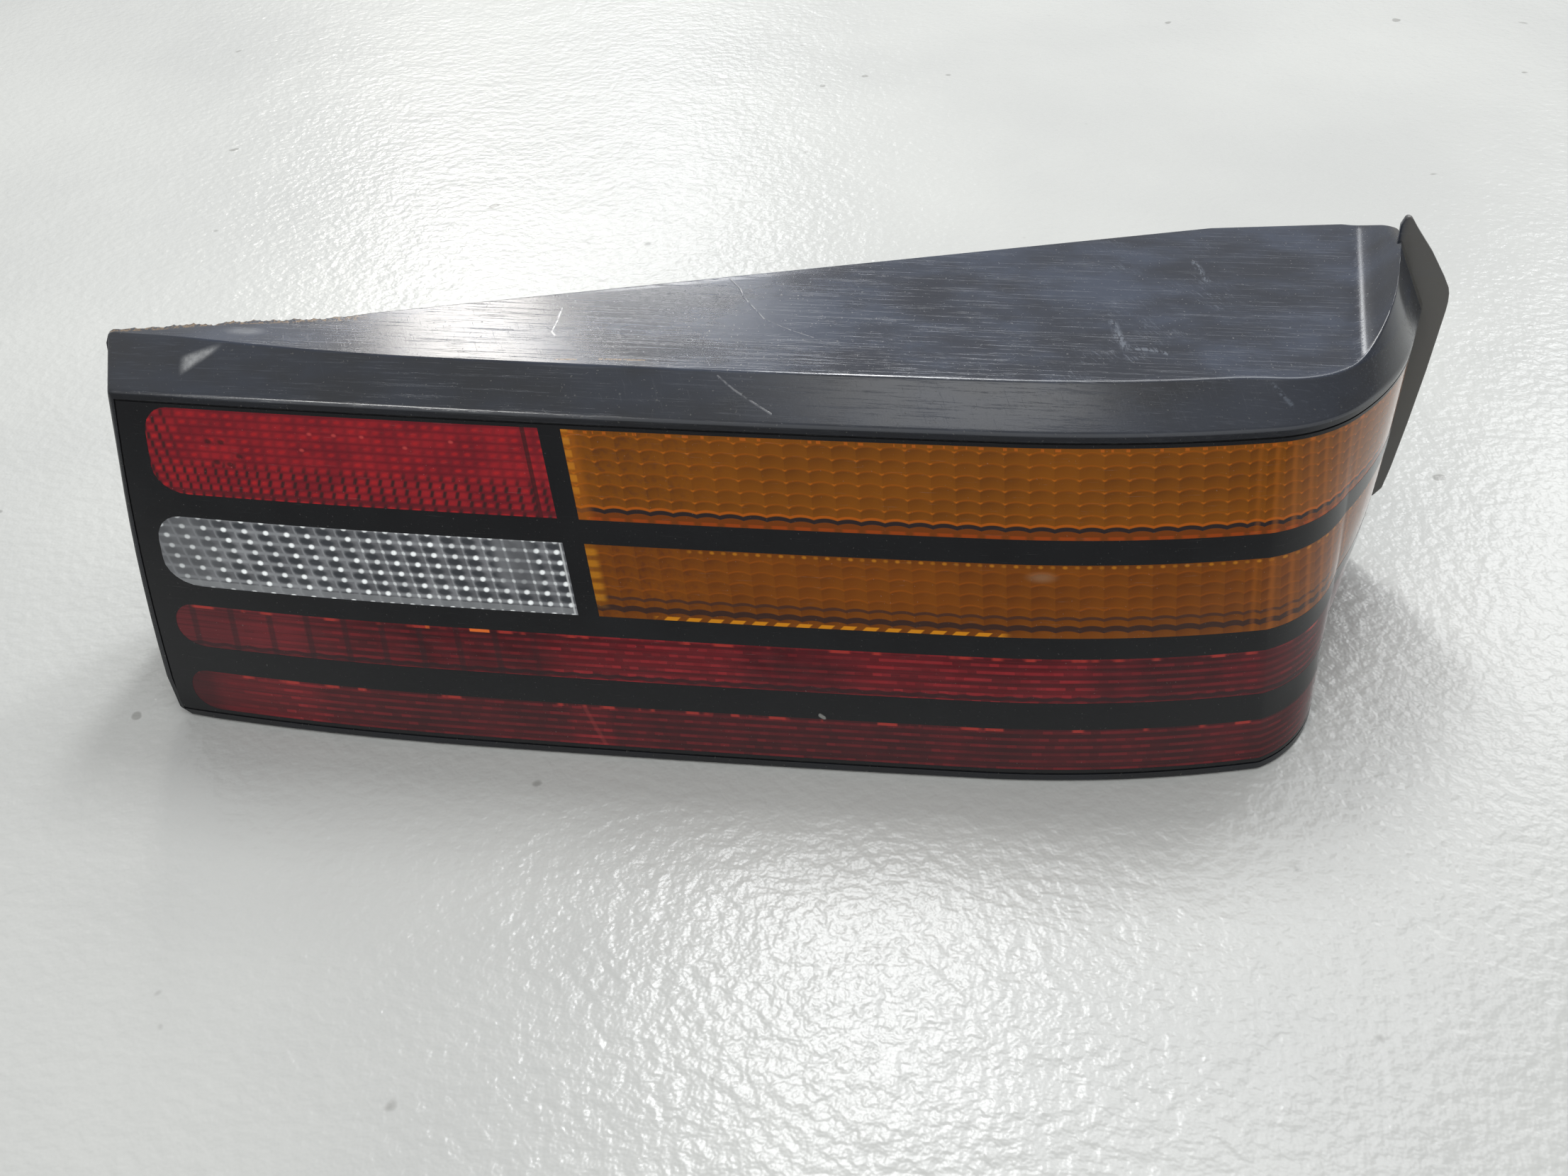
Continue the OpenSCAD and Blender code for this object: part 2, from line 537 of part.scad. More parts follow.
// Joint of sealant between the lens and the rim of the housing
seal_ts = [-seal_w, 0, r1a, r1b, r2a, r2b, r3a, r3b, r4a, r4b, lens_h, lens_h + seal_w];
function seal_pt(i, t, d) = (i > 0 && i < n_st - 1) ? grid_pt(i, t, d)
  : let (f = (t + seal_w) / (lens_h + 2 * seal_w))
    raw(stations[i], -seal_w, d) * (1 - f) + raw(stations[i], lens_h + seal_w, d) * f;
module lens_seal() seat() color("#101113") shell(
  [for (i = [0 : n_st - 1]) [for (t = seal_ts) seal_pt(i, t, 0.4)]],
  [for (i = [0 : n_st - 1]) [for (t = seal_ts) seal_pt(i, t, lens_t)]],
  [for (i = [0 : n_st - 2]) [for (j = [0 : len(seal_ts) - 2])
    i == 0 || i == n_st - 2 || j == 0 || j == len(seal_ts) - 2]]);

// Metallised chamber inserts, open towards the lens and seated on the back wall
front_d = lens_t + flute_d + insert_gap;
function room_y(x) = wall_y(x) - wall;
function insert_path(s, x, ta, tb, grow) = let (a = raw(s, ta + grow, front_d),
    b = raw(s, tb - grow, front_d))
  [a, [x, room_y(x) - grow, a[2]], [x, room_y(x) - grow, b[2]], b];
module insert(ss, xs, ta, tb) {
  n = len(ss) - 1;
  tub([for (i = [0 : n]) insert_path(ss[i], xs[i], ta, tb, 0)],
    [for (i = [0 : n]) let (e = i == 0 ? insert_t : i == n ? -insert_t : 0)
      insert_path(ss[i] + e, xs[i] + e, ta, tb, insert_t)], 1, 1);
}
chamber_in = 13;
function chamber_x(s) = outline(s)[0] - chamber_in * smooth((s - divider_at) / 60)
  - 2 * chamber_in * smooth((s - front_len) / shoulder_len);
in_s = margin - 6;
left_ss = [in_s, bend_x - start_x, divider_at - insert_split];
left_xs = [start_x + in_s + 4, bend_x, chamber_x(left_ss[2])];
right_ss = [divider_at + 2 + insert_split, (divider_at + front_len) / 2, front_len,
  front_len + shoulder_len / 2, s_corner + 4, s_corner + 20];
tail_ss = [in_s, bend_x - start_x, divider_at, right_ss[1], front_len, right_ss[3], s_corner + 4];
module reflector_fog() seat() color("#b9bcc2") difference() {
  insert(left_ss, left_xs, top_bar, c1);
  glass_hole(0);
}
module reflector_reverse() seat() color("#b9bcc2") difference() {
  insert(left_ss, left_xs, c2, c3);
  glass_hole(1);
}
module reflector_turn() seat() color("#b9bcc2") difference() {
  insert(right_ss, [for (s = right_ss) chamber_x(s)], top_bar, c3);
  glass_hole(2);
}
module reflector_tail() seat() color("#b9bcc2") difference() {
  insert(tail_ss, [for (s = tail_ss) s < divider_at ? left_xs[s > in_s ? 1 : 0] : chamber_x(s)], c4, c5);
  glass_hole(3);
  glass_hole(4);
}

// Carrier plate with a holder tube for each bulb
function corner_arc(cx, cy, r, a) = [for (i = [0 : 6]) [cx + r * cos(a + i * 15), cy + r * sin(a + i * 15)]];
function round_rect(x0, y0, x1, y1, r) = concat(corner_arc(x1 - r, y1 - r, r, 0),
  corner_arc(x0 + r, y1 - r, r, 90), corner_arc(x0 + r, y0 + r, r, 180),
  corner_arc(x1 - r, y0 + r, r, 270));
module slab_on_wall(out, t) on_wall(0, 0, out + t) rotate([90, 0, 0]) linear_extrude(t) children();
module bulb_carrier() seat() color("#55585c") difference() {
  union() {
    slab_on_wall(0, plate_t) polygon(round_rect(plate_from, plate_low, plate_to, plate_top, plate_r));
    for (b = bulb_at) on_wall(b[0], b[1], -tube_len) rotate([-90, 0, 0])
      cylinder(r = tube_r + tube_t, h = tube_len + plate_t / 2);
  }
  for (b = bulb_at) on_wall(b[0], b[1], -tube_len - 1) rotate([-90, 0, 0])
    cylinder(r = tube_r, h = tube_len);
  for (p = screw_at) on_wall(p[0], p[1], -1) rotate([-90, 0, 0]) cylinder(r = screw_r, h = plate_t + 2);
}

// Bulb glass on its cap, the cap in the holder with its collar on the end of the tube
module bulb(k) on_wall(bulb_at[k][0], bulb_at[k][1], -tube_len) rotate([90, 0, 0]) rotate_extrude()
  polygon(concat([[0, neck_h], [cap_r, neck_h]], [for (i = [0 : 9]) let (a = -38 + 12.8 * i)
    [bulb_r * cos(a), bulb_len - bulb_r + bulb_r * sin(a)]], [[0, bulb_len]]));
module bulb_caps() seat() color("#b5a878") for (b = bulb_at)
  on_wall(b[0], b[1], -tube_len) rotate([90, 0, 0]) {
    translate([0, 0, -cap_len]) cylinder(r = cap_r, h = cap_len + neck_h);
    cylinder(r = collar_r, h = collar_t);
  }
module bulb_fog() seat() color("#e8e4d8") bulb(0);
module bulb_reverse() seat() color("#e8e4d8") bulb(1);
module bulb_turn() seat() color("#e8a84a") bulb(2);
module bulb_stop() seat() color("#e8e4d8") bulb(3);
module bulb_tail() seat() color("#e8e4d8") bulb(4);

// Brass strips riveted flat on the back of the carrier plate
strip_low = plate_low + 5;
module contact_earth() seat() color("#b08d4a") slab_on_wall(plate_t, strip_t) union() {
  translate([left_bulb_at - 8, strip_low]) square([tail_bulb_at - left_bulb_at + 16, strip_w]);
  for (q = [stop_bulb_at, tail_bulb_at]) translate([q - strip_w / 2, strip_low])
    square([strip_w, tail_z - strip_low]);
  translate([turn_bulb_at - strip_w / 2, strip_low]) square([strip_w, turn_z - strip_low]);
}
module contact_left() seat() color("#b08d4a") slab_on_wall(plate_t, strip_t) union() {
  translate([left_bulb_at - strip_w / 2, reverse_z - 8]) square([strip_w, fog_z - reverse_z + 16]);
  translate([left_bulb_at, (fog_z + reverse_z) / 2 - strip_w / 2])
    square([stop_bulb_at - 6 - left_bulb_at, strip_w]);
}
module contact_right() seat() color("#b08d4a") slab_on_wall(plate_t, strip_t) union() {
  translate([turn_bulb_at + strip_w, turn_z]) square([tail_bulb_at - turn_bulb_at - strip_w, strip_w]);
  translate([tail_bulb_at - strip_w / 2 , tail_z + strip_w]) square([strip_w, turn_z - tail_z]);
}

// Connector shroud with its blades
plug_x = (stop_bulb_at + turn_bulb_at) / 2;
plug_z = plate_top - plug_h / 2 - plug_drop;
module connector() seat() color("#2c2d30") difference() {
  on_wall(plug_x - plug_l / 2, plug_z - plug_h / 2, plate_t) cube([plug_l, plug_d, plug_h]);
  on_wall(plug_x - plug_l / 2 + plug_wall, plug_z - plug_h / 2 + plug_wall, plate_t + plug_wall)
    cube([plug_l - 2 * plug_wall, plug_d, plug_h - 2 * plug_wall]);
}
module connector_pins() seat() color("#c0a050") for (i = [0 : plug_pins - 1])
  on_wall(plug_x + (i - (plug_pins - 1) / 2) * pin_pitch - pin_w / 2, plug_z - strip_t / 2,
    plate_t + plug_wall) cube([pin_w, plug_d - plug_wall - 3, strip_t]);

module carrier_screws() seat() color("#9a9da1") for (p = screw_at) {
  on_wall(p[0], p[1], plate_t) rotate([-90, 0, 0]) cylinder(r = screw_head_r, h = screw_head_h);
  on_wall(p[0], p[1], -(wall - 1)) rotate([-90, 0, 0]) cylinder(r = screw_r, h = plate_t + wall - 1);
}

// Foam gasket round the carrier plate
module body_gasket() seat() color("#26272a") slab_on_wall(0, gasket_t) difference() {
  polygon(round_rect(plate_from - gasket_gap - gasket_w, plate_low - gasket_gap - gasket_w + 4,
    plate_to + gasket_gap + gasket_w, plate_top + gasket_gap + gasket_w, plate_r + gasket_w));
  polygon(round_rect(plate_from - gasket_gap, plate_low - gasket_gap, plate_to + gasket_gap,
    plate_top + gasket_gap, plate_r + gasket_gap));
}

// Threaded studs, their foam rings and the vent cap
module studs() seat() color("#a7a9ac") for (p = stud_at)
  translate([p[0], wall_y(p[0]) + boss_h, p[1]]) rotate([-90, 0, 0]) {
    translate([0, 0, -stud_hold]) cylinder(r = stud_head_r, h = stud_hold);
    cylinder(r = stud_r, h = stud_len);
  }
module stud_seals() seat() color("#2f3033") for (p = stud_at)
  translate([p[0], wall_y(p[0]) + boss_h, p[1]]) rotate([-90, 0, 0]) difference() {
    cylinder(r = boss_r, h = ring_t);
    translate([0, 0, -1]) cylinder(r = stud_r + ring_clear, h = ring_t + 2);
  }
module vent_cap() seat() color("#17181a") {
  on_wall(vent_at, vent_z, 0) rotate([-90, 0, 0]) cylinder(r = vent_r, h = vent_len);
  on_wall(vent_at, vent_z, -wall_n) rotate([-90, 0, 0]) cylinder(r = vent_r / 2, h = wall_n);
}

housing();
lens_grid();
lens_fog();
lens_reverse();
lens_amber_upper();
lens_amber_lower();
lens_red_upper();
lens_red_lower();
lens_seal();
reflector_fog();
reflector_reverse();
reflector_turn();
reflector_tail();
bulb_carrier();
bulb_fog();
bulb_reverse();
bulb_turn();
bulb_stop();
bulb_tail();
bulb_caps();
contact_earth();
contact_left();
contact_right();
connector();
connector_pins();
carrier_screws();
body_gasket();
studs();
stud_seals();
vent_cap();
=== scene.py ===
import math

import bmesh
import bpy
import numpy as np
from mathutils import Matrix, Vector


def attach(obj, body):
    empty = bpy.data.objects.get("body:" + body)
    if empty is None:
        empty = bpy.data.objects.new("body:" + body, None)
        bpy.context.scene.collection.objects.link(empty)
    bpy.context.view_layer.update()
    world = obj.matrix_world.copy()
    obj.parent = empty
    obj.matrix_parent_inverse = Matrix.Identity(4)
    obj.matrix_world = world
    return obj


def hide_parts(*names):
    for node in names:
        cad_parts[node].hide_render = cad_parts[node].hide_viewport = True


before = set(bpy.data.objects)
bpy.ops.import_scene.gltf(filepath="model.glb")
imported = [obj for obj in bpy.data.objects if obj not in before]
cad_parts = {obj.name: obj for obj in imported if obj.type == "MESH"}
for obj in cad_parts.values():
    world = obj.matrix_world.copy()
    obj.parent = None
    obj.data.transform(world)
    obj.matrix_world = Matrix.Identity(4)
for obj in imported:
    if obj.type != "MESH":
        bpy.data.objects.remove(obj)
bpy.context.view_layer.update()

# Camera: where the photographer stood, above and in front of the lamp, a little to its right.
# Its focal length is given in pixels of a photograph 2212 pixels wide.
SENSOR_MM, FOCAL_PX, PHOTO_PX = 36.0, 2300.0, 2212.0


def linked(name, data):
    """An object in the scene for a camera, a mesh or a lamp."""
    thing = bpy.data.objects.new(name, data)
    bpy.context.scene.collection.objects.link(thing)
    return thing


eye_m = Vector((0.071155, -0.500888, 0.428727))
eye_right = Vector((0.9923613, 0.1204336, -0.0267346))
eye_up = Vector((-0.0571430, 0.6408005, 0.7655778))
eye_turn = Matrix((eye_right, eye_up, eye_right.cross(eye_up))).transposed().to_4x4()
lens = bpy.data.cameras.new("photo_lens")
lens.sensor_width = SENSOR_MM
lens.lens = SENSOR_MM * FOCAL_PX / PHOTO_PX
lens.clip_start = 0.01
camera = linked("photo_camera", lens)
camera.matrix_world = Matrix.Translation(eye_m) @ eye_turn
bpy.context.scene.camera = camera
bpy.context.scene.view_settings.view_transform = "Standard"


# Housing: one injection moulding of dark polypropylene with the shelf, the sloped band over the
# lens, the rim, the turned-up outer end, the bosses for the studs and the side flange.
# The outline of the lens top is a chain of arcs, and each cross-section stands on it.
SEAT = np.array([-193.36, -50.2417, 0.0])
ARCS = ((312.0, 6500.0), (90.0, 490.0), (34.0, 54.0), (50.4, 112.0), (216.0, 2240.0))
LENS_H, LENS_Z, LIP, SEAL_W = 112.0, 115.2, 2.6, 0.6
SHELF_Z, WALL, BACK_INSET = 129.8, 2.5, 6.0
S_CORNER, S_SIDE, S_LENS = 402.0, 436.0, 508.0
S_LAST = S_LENS + LIP + 6.0
DIVIDER, SIDE_TUCK = 153.0, 9.0
LENS_START = (-36.9, 0.4, math.radians(-1.5))
LEAN_IN, LEAN_DIVIDER, RAKE = 13.0, 23.0, math.radians(21.0)
BOW_LEN, TURN_H, TURN_R, TURN_LEN = 70.0, 3.8, 6.5, 14.0


def outline(s):
    """Place and direction of the lens's top edge, s along it."""
    x, y, a = LENS_START
    for number, (length, radius) in enumerate(ARCS):
        part = min(s, length) if number < len(ARCS) - 1 else s
        b = a + part / radius
        x += radius * (math.sin(b) - math.sin(a))
        y += radius * (math.cos(a) - math.cos(b))
        a, s = b, s - length
        if s <= 0.0:
            break
    return x, y, a


def lens_point(s, t, depth=0.0):
    """A point of the lens, t down its face and depth behind it; its inner end leans, bows out a
    little and turns under in a round corner."""
    if s < DIVIDER:
        lean = LEAN_IN + (LEAN_DIVIDER - LEAN_IN) * max(s, 0.0) / DIVIDER
    else:
        lean = LEAN_DIVIDER * max(0.0, 1.0 - (s - DIVIDER) / (S_CORNER - DIVIDER))
    shift = lean * t / LENS_H
    if s < BOW_LEN and t > 0.0:
        low = min(t / LENS_H, 1.0)
        shift -= (2.0 * low + 11.0 * low * (1.0 - low)) * (1.0 - max(s, 0.0) / BOW_LEN) ** 2
        turn = max(0.0, t - LENS_H + TURN_H)
        drawn_in = TURN_R - math.sqrt(TURN_R ** 2 - turn ** 2)
        shift += drawn_in * max(0.0, 1.0 - (s + LIP) / TURN_LEN)
    x, y, b = outline(s + shift)
    a = outline(s)[2]
    share = math.cos(min(1.25 * max(b, 0.0), math.pi / 2)) ** 2
    out = t * math.tan(RAKE) * share
    out -= SIDE_TUCK * (max(t, 0.0) / LENS_H) ** 4 * (1.0 - share)
    out -= 4.5 * t / LENS_H * (max(0.0, 100.0 - max(0.0, s)) / 100.0) ** 2
    return np.array([x + math.sin(b) * out - math.sin(a) * depth,
                     y - math.cos(b) * out + math.cos(a) * depth, LENS_Z - t])


def smooth(f):
    """0 to 1 with soft ends."""
    g = min(1.0, max(0.0, f))
    return g * g * (3.0 - 2.0 * g)


BEND_X, BEND_Y, BACK_END_X = 40.0, 41.0, 350.0
BACK_ANGLE = math.radians(15.8)
INNER_TAN, BACK_TAN = math.tan(math.radians(8.0)), math.tan(BACK_ANGLE)
END = outline(S_LAST)
END_X, END_Y = END[0] - 12.9, END[1]


def edge_y(x):
    """The shelf's straight back edge, with its bend near the inner end."""
    return BEND_Y + (x - BEND_X) * (INNER_TAN if x < BEND_X else BACK_TAN)


def flare(s):
    """How far the housing reaches inwards past the lens at its inner end."""
    return -8.0 * max(0.0, 1.0 - (s + LIP) / (9.5 + LIP)) ** 1.4


def along_back(s):
    """X on the back edge that faces s of the lens, and how far round the outer end it is."""
    turn = 330.0
    f = (s - turn) / (S_LAST - turn)
    if f <= 0.0:
        return outline(s)[0] + flare(s), 0.0
    if f <= 0.45:
        x = outline(turn)[0]
        return x + (BACK_END_X - x) * f / 0.45, 0.0
    return BACK_END_X, (f - 0.45) / 0.55


def bend(p, c, e, g):
    """A point of the curve from p to e that is drawn towards c."""
    p, c, e = np.array(p), np.array(c), np.array(e)
    return p * (1 - g) ** 2 + c * 2 * g * (1 - g) + e * g * g


def torn(x):
    """How far the ragged inner end of the back edge is broken away."""
    if x > 46.0:
        return 0.0
    chips = 0.7 + 1.0 * abs(math.sin(x * 0.43 + 1.0)) + 0.8 * abs(math.sin(x * 1.31))
    chips += 0.5 * abs(math.sin(x * 3.7 + 2.0)) + 2.4 * math.exp(-((x + 9.0) / 2.2) ** 2)
    return chips * smooth((46.0 - x) / 22.0 + 0.1)


def back_edge(s):
    """The shelf's back edge and its turn round the outer end."""
    x, g = along_back(s)
    start, corner = np.array([x, edge_y(x)]), np.array([END_X - 15.0, END_Y + 36.0])
    if g < 0.5:
        p = start + (corner - start) * 2.0 * g
    else:
        p = bend(corner, [END_X - 4.0, END_Y + 38.0], [END_X, END_Y + 9.0], 2.0 * g - 1.0)
    return p - [0.0, torn(x)]


def back_wall(s, inside):
    """The upright back wall, which stands in from the shelf's edge."""
    x, g = along_back(s)
    y = edge_y(x) - BACK_INSET - inside
    return bend([x, y], [x + 30.0 - inside, y], [END[0] - 21.0 - inside, END_Y - inside], g)


def curl(x, y):
    """Height of the turned-up outer end over the flat shelf."""
    radius = 5.5
    d = x - END_X + 11.0 + (END_Y - y) * math.tan(math.radians(7.0))
    if d < -radius:
        return 0.0
    return math.tan(math.radians(52.0)) * (d if d > radius else (d + radius) ** 2 / (4 * radius))


def crease(s):
    """Where the sloped band over the lens meets the shelf."""
    x, y, a = outline(s)
    run = 16.0 - 9.0 * smooth((s - S_CORNER + 15.0) / 59.0)
    run += 8.0 * max(0.0, 1.0 - (s + LIP) / 110.0) ** 1.7
    run += 5.9 * (max(0.0, s - S_SIDE - 10.0) / (S_LAST - S_SIDE - 10.0)) ** 1.2
    return np.array([x + flare(s) - math.sin(a) * run, y + math.cos(a) * run])


def on_shelf(p, drop=0.0):
    """A point on the shelf or a drop below it; the inner corner sinks a little."""
    sink = 1.6 * smooth(-p[0] / 42.0) * smooth((p[1] - 16.0) / 12.0)
    return np.array([p[0], p[1], SHELF_Z + curl(p[0], p[1]) - sink - drop])


def rounded(points, cuts, steps=4):
    """The path with its corners turned into short curves that start a cut before each corner."""
    path = [points[0]]
    for before, corner, after, cut in zip(points, points[1:], points[2:], cuts):
        if cut == 0.0:
            path.append(corner)
            continue
        a = corner + (before - corner) * min(cut / np.linalg.norm(before - corner), 0.49)
        b = corner + (after - corner) * min(cut / np.linalg.norm(after - corner), 0.49)
        path += [bend(a, corner, b, k / steps) for k in range(steps + 1)]
    return path + [points[-1]]


def skin_section(s):
    """Outer skin from the rim's edge above the lens, over the shelf and down to the rim below."""
    c, b, w = crease(s), back_edge(s), back_wall(s, 0.0)
    f, top = lens_point(s, -LIP), on_shelf(c)
    shelf = [on_shelf(c + (b - c) * v) for v in (0.02, 0.06, *np.linspace(0.12, 0.94, 15))]
    points = [lens_point(s, -SEAL_W), f, f * 0.955 + top * 0.045 + [0, 0, 0.5],
              f * 0.08 + top * 0.92 + [0, 0, 0.1], top, *shelf, on_shelf(b), on_shelf(b, WALL),
              on_shelf(w, WALL), np.array([w[0], w[1], SHELF_Z * 0.5]), np.array([w[0], w[1], 0.0]),
              lens_point(s, LENS_H + LIP, 1.2) * [1, 1, 0], lens_point(s, LENS_H + LIP),
              lens_point(s, LENS_H + SEAL_W)]
    cuts = [0.35, 0.6, 0.0, 2.8] + [0.0] * len(shelf) + [0.7, 0.5, 0.6, 0.0, 0.8, 0.5, 0.25]
    return rounded(points, cuts)


def room_section(s):
    """Inner skin, from the opening's lower edge round the room to its upper edge."""
    c, w = crease(s), back_wall(s, WALL)
    e = w * 0.1 + c * 0.9
    roof = [on_shelf(e * (1 - v) + w * v, WALL + (1.5 if v == 0 else 0)) for v in (0, 0.2, 0.4, 0.7, 1)]
    path = [lens_point(s, -SEAL_W, 4.0), *roof, np.array([w[0], w[1], SHELF_Z * 0.5]),
            np.array([w[0], w[1], WALL]), lens_point(s, LENS_H + SEAL_W, 4.0)]
    return path[::-1]


def inset(ring, amount):
    """The closed section drawn in by an amount, for the rounding of the ends."""
    ring = np.array(ring)
    centre = ring.mean(axis=0)
    out = ring - centre
    return ring - out * (amount / (np.linalg.norm(out, axis=1) + 1e-6))[:, None]


def mesh_piece(name, points, faces, uv=None):
    """A mesh object in the frame from points in the drawing, with flat coordinates if given."""
    mesh = bpy.data.meshes.new(name)
    mesh.from_pydata((np.array(points) + SEAT) * 0.001, [], faces)
    if uv is not None:
        layer = mesh.uv_layers.new(name="lamp_mm")
        corner = np.zeros(len(mesh.loops), np.int32)
        mesh.loops.foreach_get("vertex_index", corner)
        layer.data.foreach_set("uv", np.array(uv, np.float32)[corner].ravel())
    return linked(name, mesh)


def shade(piece, degrees):
    """Smooth shading, with sharp edges where faces meet at more than an angle."""
    work = bmesh.new()
    work.from_mesh(piece.data)
    bmesh.ops.recalc_face_normals(work, faces=work.faces)
    for face in work.faces:
        face.smooth = True
    for edge in work.edges:
        edge.smooth = edge.is_manifold and edge.calc_face_angle(0.0) < math.radians(degrees)
    work.to_mesh(piece.data)
    work.free()


house_s = [-LIP + 0.1, -LIP + 0.35, -LIP + 0.8, -LIP + 1.3]
room_s = list(np.arange(0.0, 96.0, 0.8)) + list(np.arange(96.0, 384.0, 3.0))
room_s += list(np.arange(384.0, S_LENS, 1.4)) + [S_LENS]
insets = [1.0, 0.6, 0.25, 0.05]
count_in = len(room_section(100.0))


def plate_section(s):
    """A full section at the closed ends: the front runs straight down the face of the rim."""
    front = [lens_point(s, -SEAL_W + (LENS_H + 2 * SEAL_W) * (1 - (k + 1) / (count_in + 1)))
             for k in range(count_in)]
    return skin_section(s) + front


rings = [inset(plate_section(-LIP), 1.2)]
rings += [inset(plate_section(s), d) for s, d in zip(house_s, insets)]
rings += [plate_section(-SEAL_W)]
rings += [skin_section(s) + room_section(s) for s in [-SEAL_W, *room_s, S_LENS + SEAL_W]]
rings += [plate_section(s) for s in (S_LENS + SEAL_W, S_LENS + LIP, S_LENS + LIP + 3, S_LAST - 0.8)]
rings += [inset(plate_section(S_LAST - 0.3), 0.3), inset(plate_section(S_LAST), 0.9)]
size = len(rings[0])
faces = [[a * size + b, a * size + (b + 1) % size, (a + 1) * size + (b + 1) % size, (a + 1) * size + b]
         for a in range(len(rings) - 1) for b in range(size)]
faces += [list(range(size))[::-1], [(len(rings) - 1) * size + b for b in range(size)]]
housing = mesh_piece("housing_moulding", np.concatenate([np.array(r) for r in rings]), faces)


def turned(name, centre, profile, around=48, slant=0.0):
    """A closed turned shape along Y from (radius, y) pairs; y may follow a slanted wall in X."""
    points, faces = [], []
    for number, (radius, y) in enumerate(profile):
        follow = slant if number in (0, len(profile) - 1) else 0.0
        for k in range(around):
            a = 2 * math.pi * k / around
            x = radius * math.cos(a)
            points.append((centre[0] + x, centre[1] + y + x * follow, centre[2] + radius * math.sin(a)))
    for n in range(len(profile) - 1):
        for k in range(around):
            j = (k + 1) % around
            faces.append([n * around + k, n * around + j, (n + 1) * around + j, (n + 1) * around + k])
    faces += [list(range(around))[::-1], [(len(profile) - 1) * around + k for k in range(around)]]
    return mesh_piece(name, points, faces)


def joined(name, pieces):
    """One object from several, their meshes kept as they are."""
    work = bmesh.new()
    for piece in pieces:
        work.from_mesh(piece.data)
        bpy.data.objects.remove(piece)
    mesh = bpy.data.meshes.new(name)
    work.to_mesh(mesh)
    work.free()
    return linked(name, mesh)


def with_modifier(piece, kind, **settings):
    """The piece's mesh with one modifier applied."""
    modifier = piece.modifiers.new("work", kind)
    for key, value in settings.items():
        setattr(modifier, key, value)
    graph = bpy.context.evaluated_depsgraph_get()
    mesh = bpy.data.meshes.new_from_object(piece.evaluated_get(graph))
    piece.modifiers.clear()
    piece.data = mesh


# The bores in the back wall: for the bulbs, the carrier's screws and the breather
BULBS = ((56.0, 97.125), (56.0, 63.7), (192.0, 80.825), (118.0, 25.775), (258.0, 25.775))
SCREWS = ((36.4, 20.0), (36.4, 80.41), (278.0, 104.8), (278.0, 69.4))
STUDS = ((14.0, 30.0), (14.0, 98.0), (337.0, 30.0), (337.0, 98.0))
VENT = (299.5, 66.0)


def on_wall(q, z, out=0.0):
    """A point of the back wall: q along it from the bend, out of its back face."""
    c, n = math.cos(BACK_ANGLE), math.sin(BACK_ANGLE)
    return np.array([BEND_X + q * c - out * n, edge_y(BEND_X) - BACK_INSET + q * n + out * c, z])


def bore(q, z, radius):
    """A round cutter through the back wall."""
    cutter = turned("cutter", (0, 0, 0), [(radius, -9.0), (radius, 9.0)], 40)
    turn = Matrix.Rotation(BACK_ANGLE, 4, "Z")
    cutter.data.transform(Matrix.Translation(-Vector(SEAT * 0.001)))
    cutter.data.transform(turn)
    cutter.data.transform(Matrix.Translation(Vector((on_wall(q, z) + SEAT) * 0.001)))
    return cutter


cutters = [bore(q, z, 13.0) for q, z in BULBS] + [bore(q, z, 1.75) for q, z in SCREWS]
cutters.append(bore(*VENT, 2.0))
cutter = joined("cutters", cutters)
shade(cutter, 40.0)
with_modifier(housing, "BOOLEAN", operation="DIFFERENCE", solver="EXACT", object=cutter)
bpy.data.objects.remove(cutter)

# Stud bosses behind the wall, bored for the moulded-in stud heads
bosses = []
for x, z in STUDS:
    wall_y = edge_y(x) - BACK_INSET
    bosses.append(turned("boss", (x, wall_y, z), [
        (8.0, -1.0), (8.0, 8.4), (7.4, 9.0), (4.5, 9.0), (4.5, 2.0), (0.01, 2.0), (0.01, 0.5)],
        slant=INNER_TAN if x < BEND_X else BACK_TAN))


def stands_for(piece, node):
    """The piece rides on the lamp's body in place of a plain solid, which is hidden."""
    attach(piece, "root")
    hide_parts(node)


# The flange stands out of the side behind the end of the lens, a thin blade with soft edges
blade = ((END_X - 1.5, 8.0), (END_X - 2.0, 19.5), (END_X - 0.9, 22.4), (END_X - 0.3, 23.0),
         (END_X + 0.6, 23.0), (END_X + 1.5, 22.5), (END_X + 4.3, 18.5), (END[0] - 1.6, 9.4),
         (END[0] + 4.8, -0.6), (END[0] + 7.0, -4.6), (END[0] + 7.7, -7.0), (END[0] + 8.1, -10.4),
         (END[0] + 8.1, -14.0), (END[0] + 6.8, -40.0), (END[0] + 5.1, -63.0), (END[0] + 3.1, -85.0),
         (END[0] + 1.7, -95.0), (END[0] - 1.0, -99.0), (END[0] - 6.4, -100.0),
         (END[0] - 9.4, -100.0), (END[0] - 3.0, -20.0))
points = [(x, END_Y - 2.5 * k, SHELF_Z + z) for k in (0, 1) for x, z in blade]
n = len(blade)
faces = [list(range(n)), [n + k for k in range(n)][::-1]]
faces += [[(k + 1) % n, k, n + k, n + (k + 1) % n] for k in range(n)]
flange = mesh_piece("flange", points, faces)
with_modifier(flange, "BEVEL", width=0.0006, segments=3, limit_method="ANGLE", angle_limit=1.0)
housing = joined("housing_moulding", [housing, flange, *bosses])
shade(housing, 40.0)
stands_for(housing, "housing")


def add_node(tree, kind, settings, values):
    """A node of a tree: its settings first, then the values or links of its sockets."""
    node = tree.nodes.new(kind)
    for key, value in settings.items():
        setattr(node, key, value)
    for key, value in values.items():
        if isinstance(value, bpy.types.NodeSocket):
            tree.links.new(value, node.inputs[key])
        else:
            node.inputs[key].default_value = value
    return node


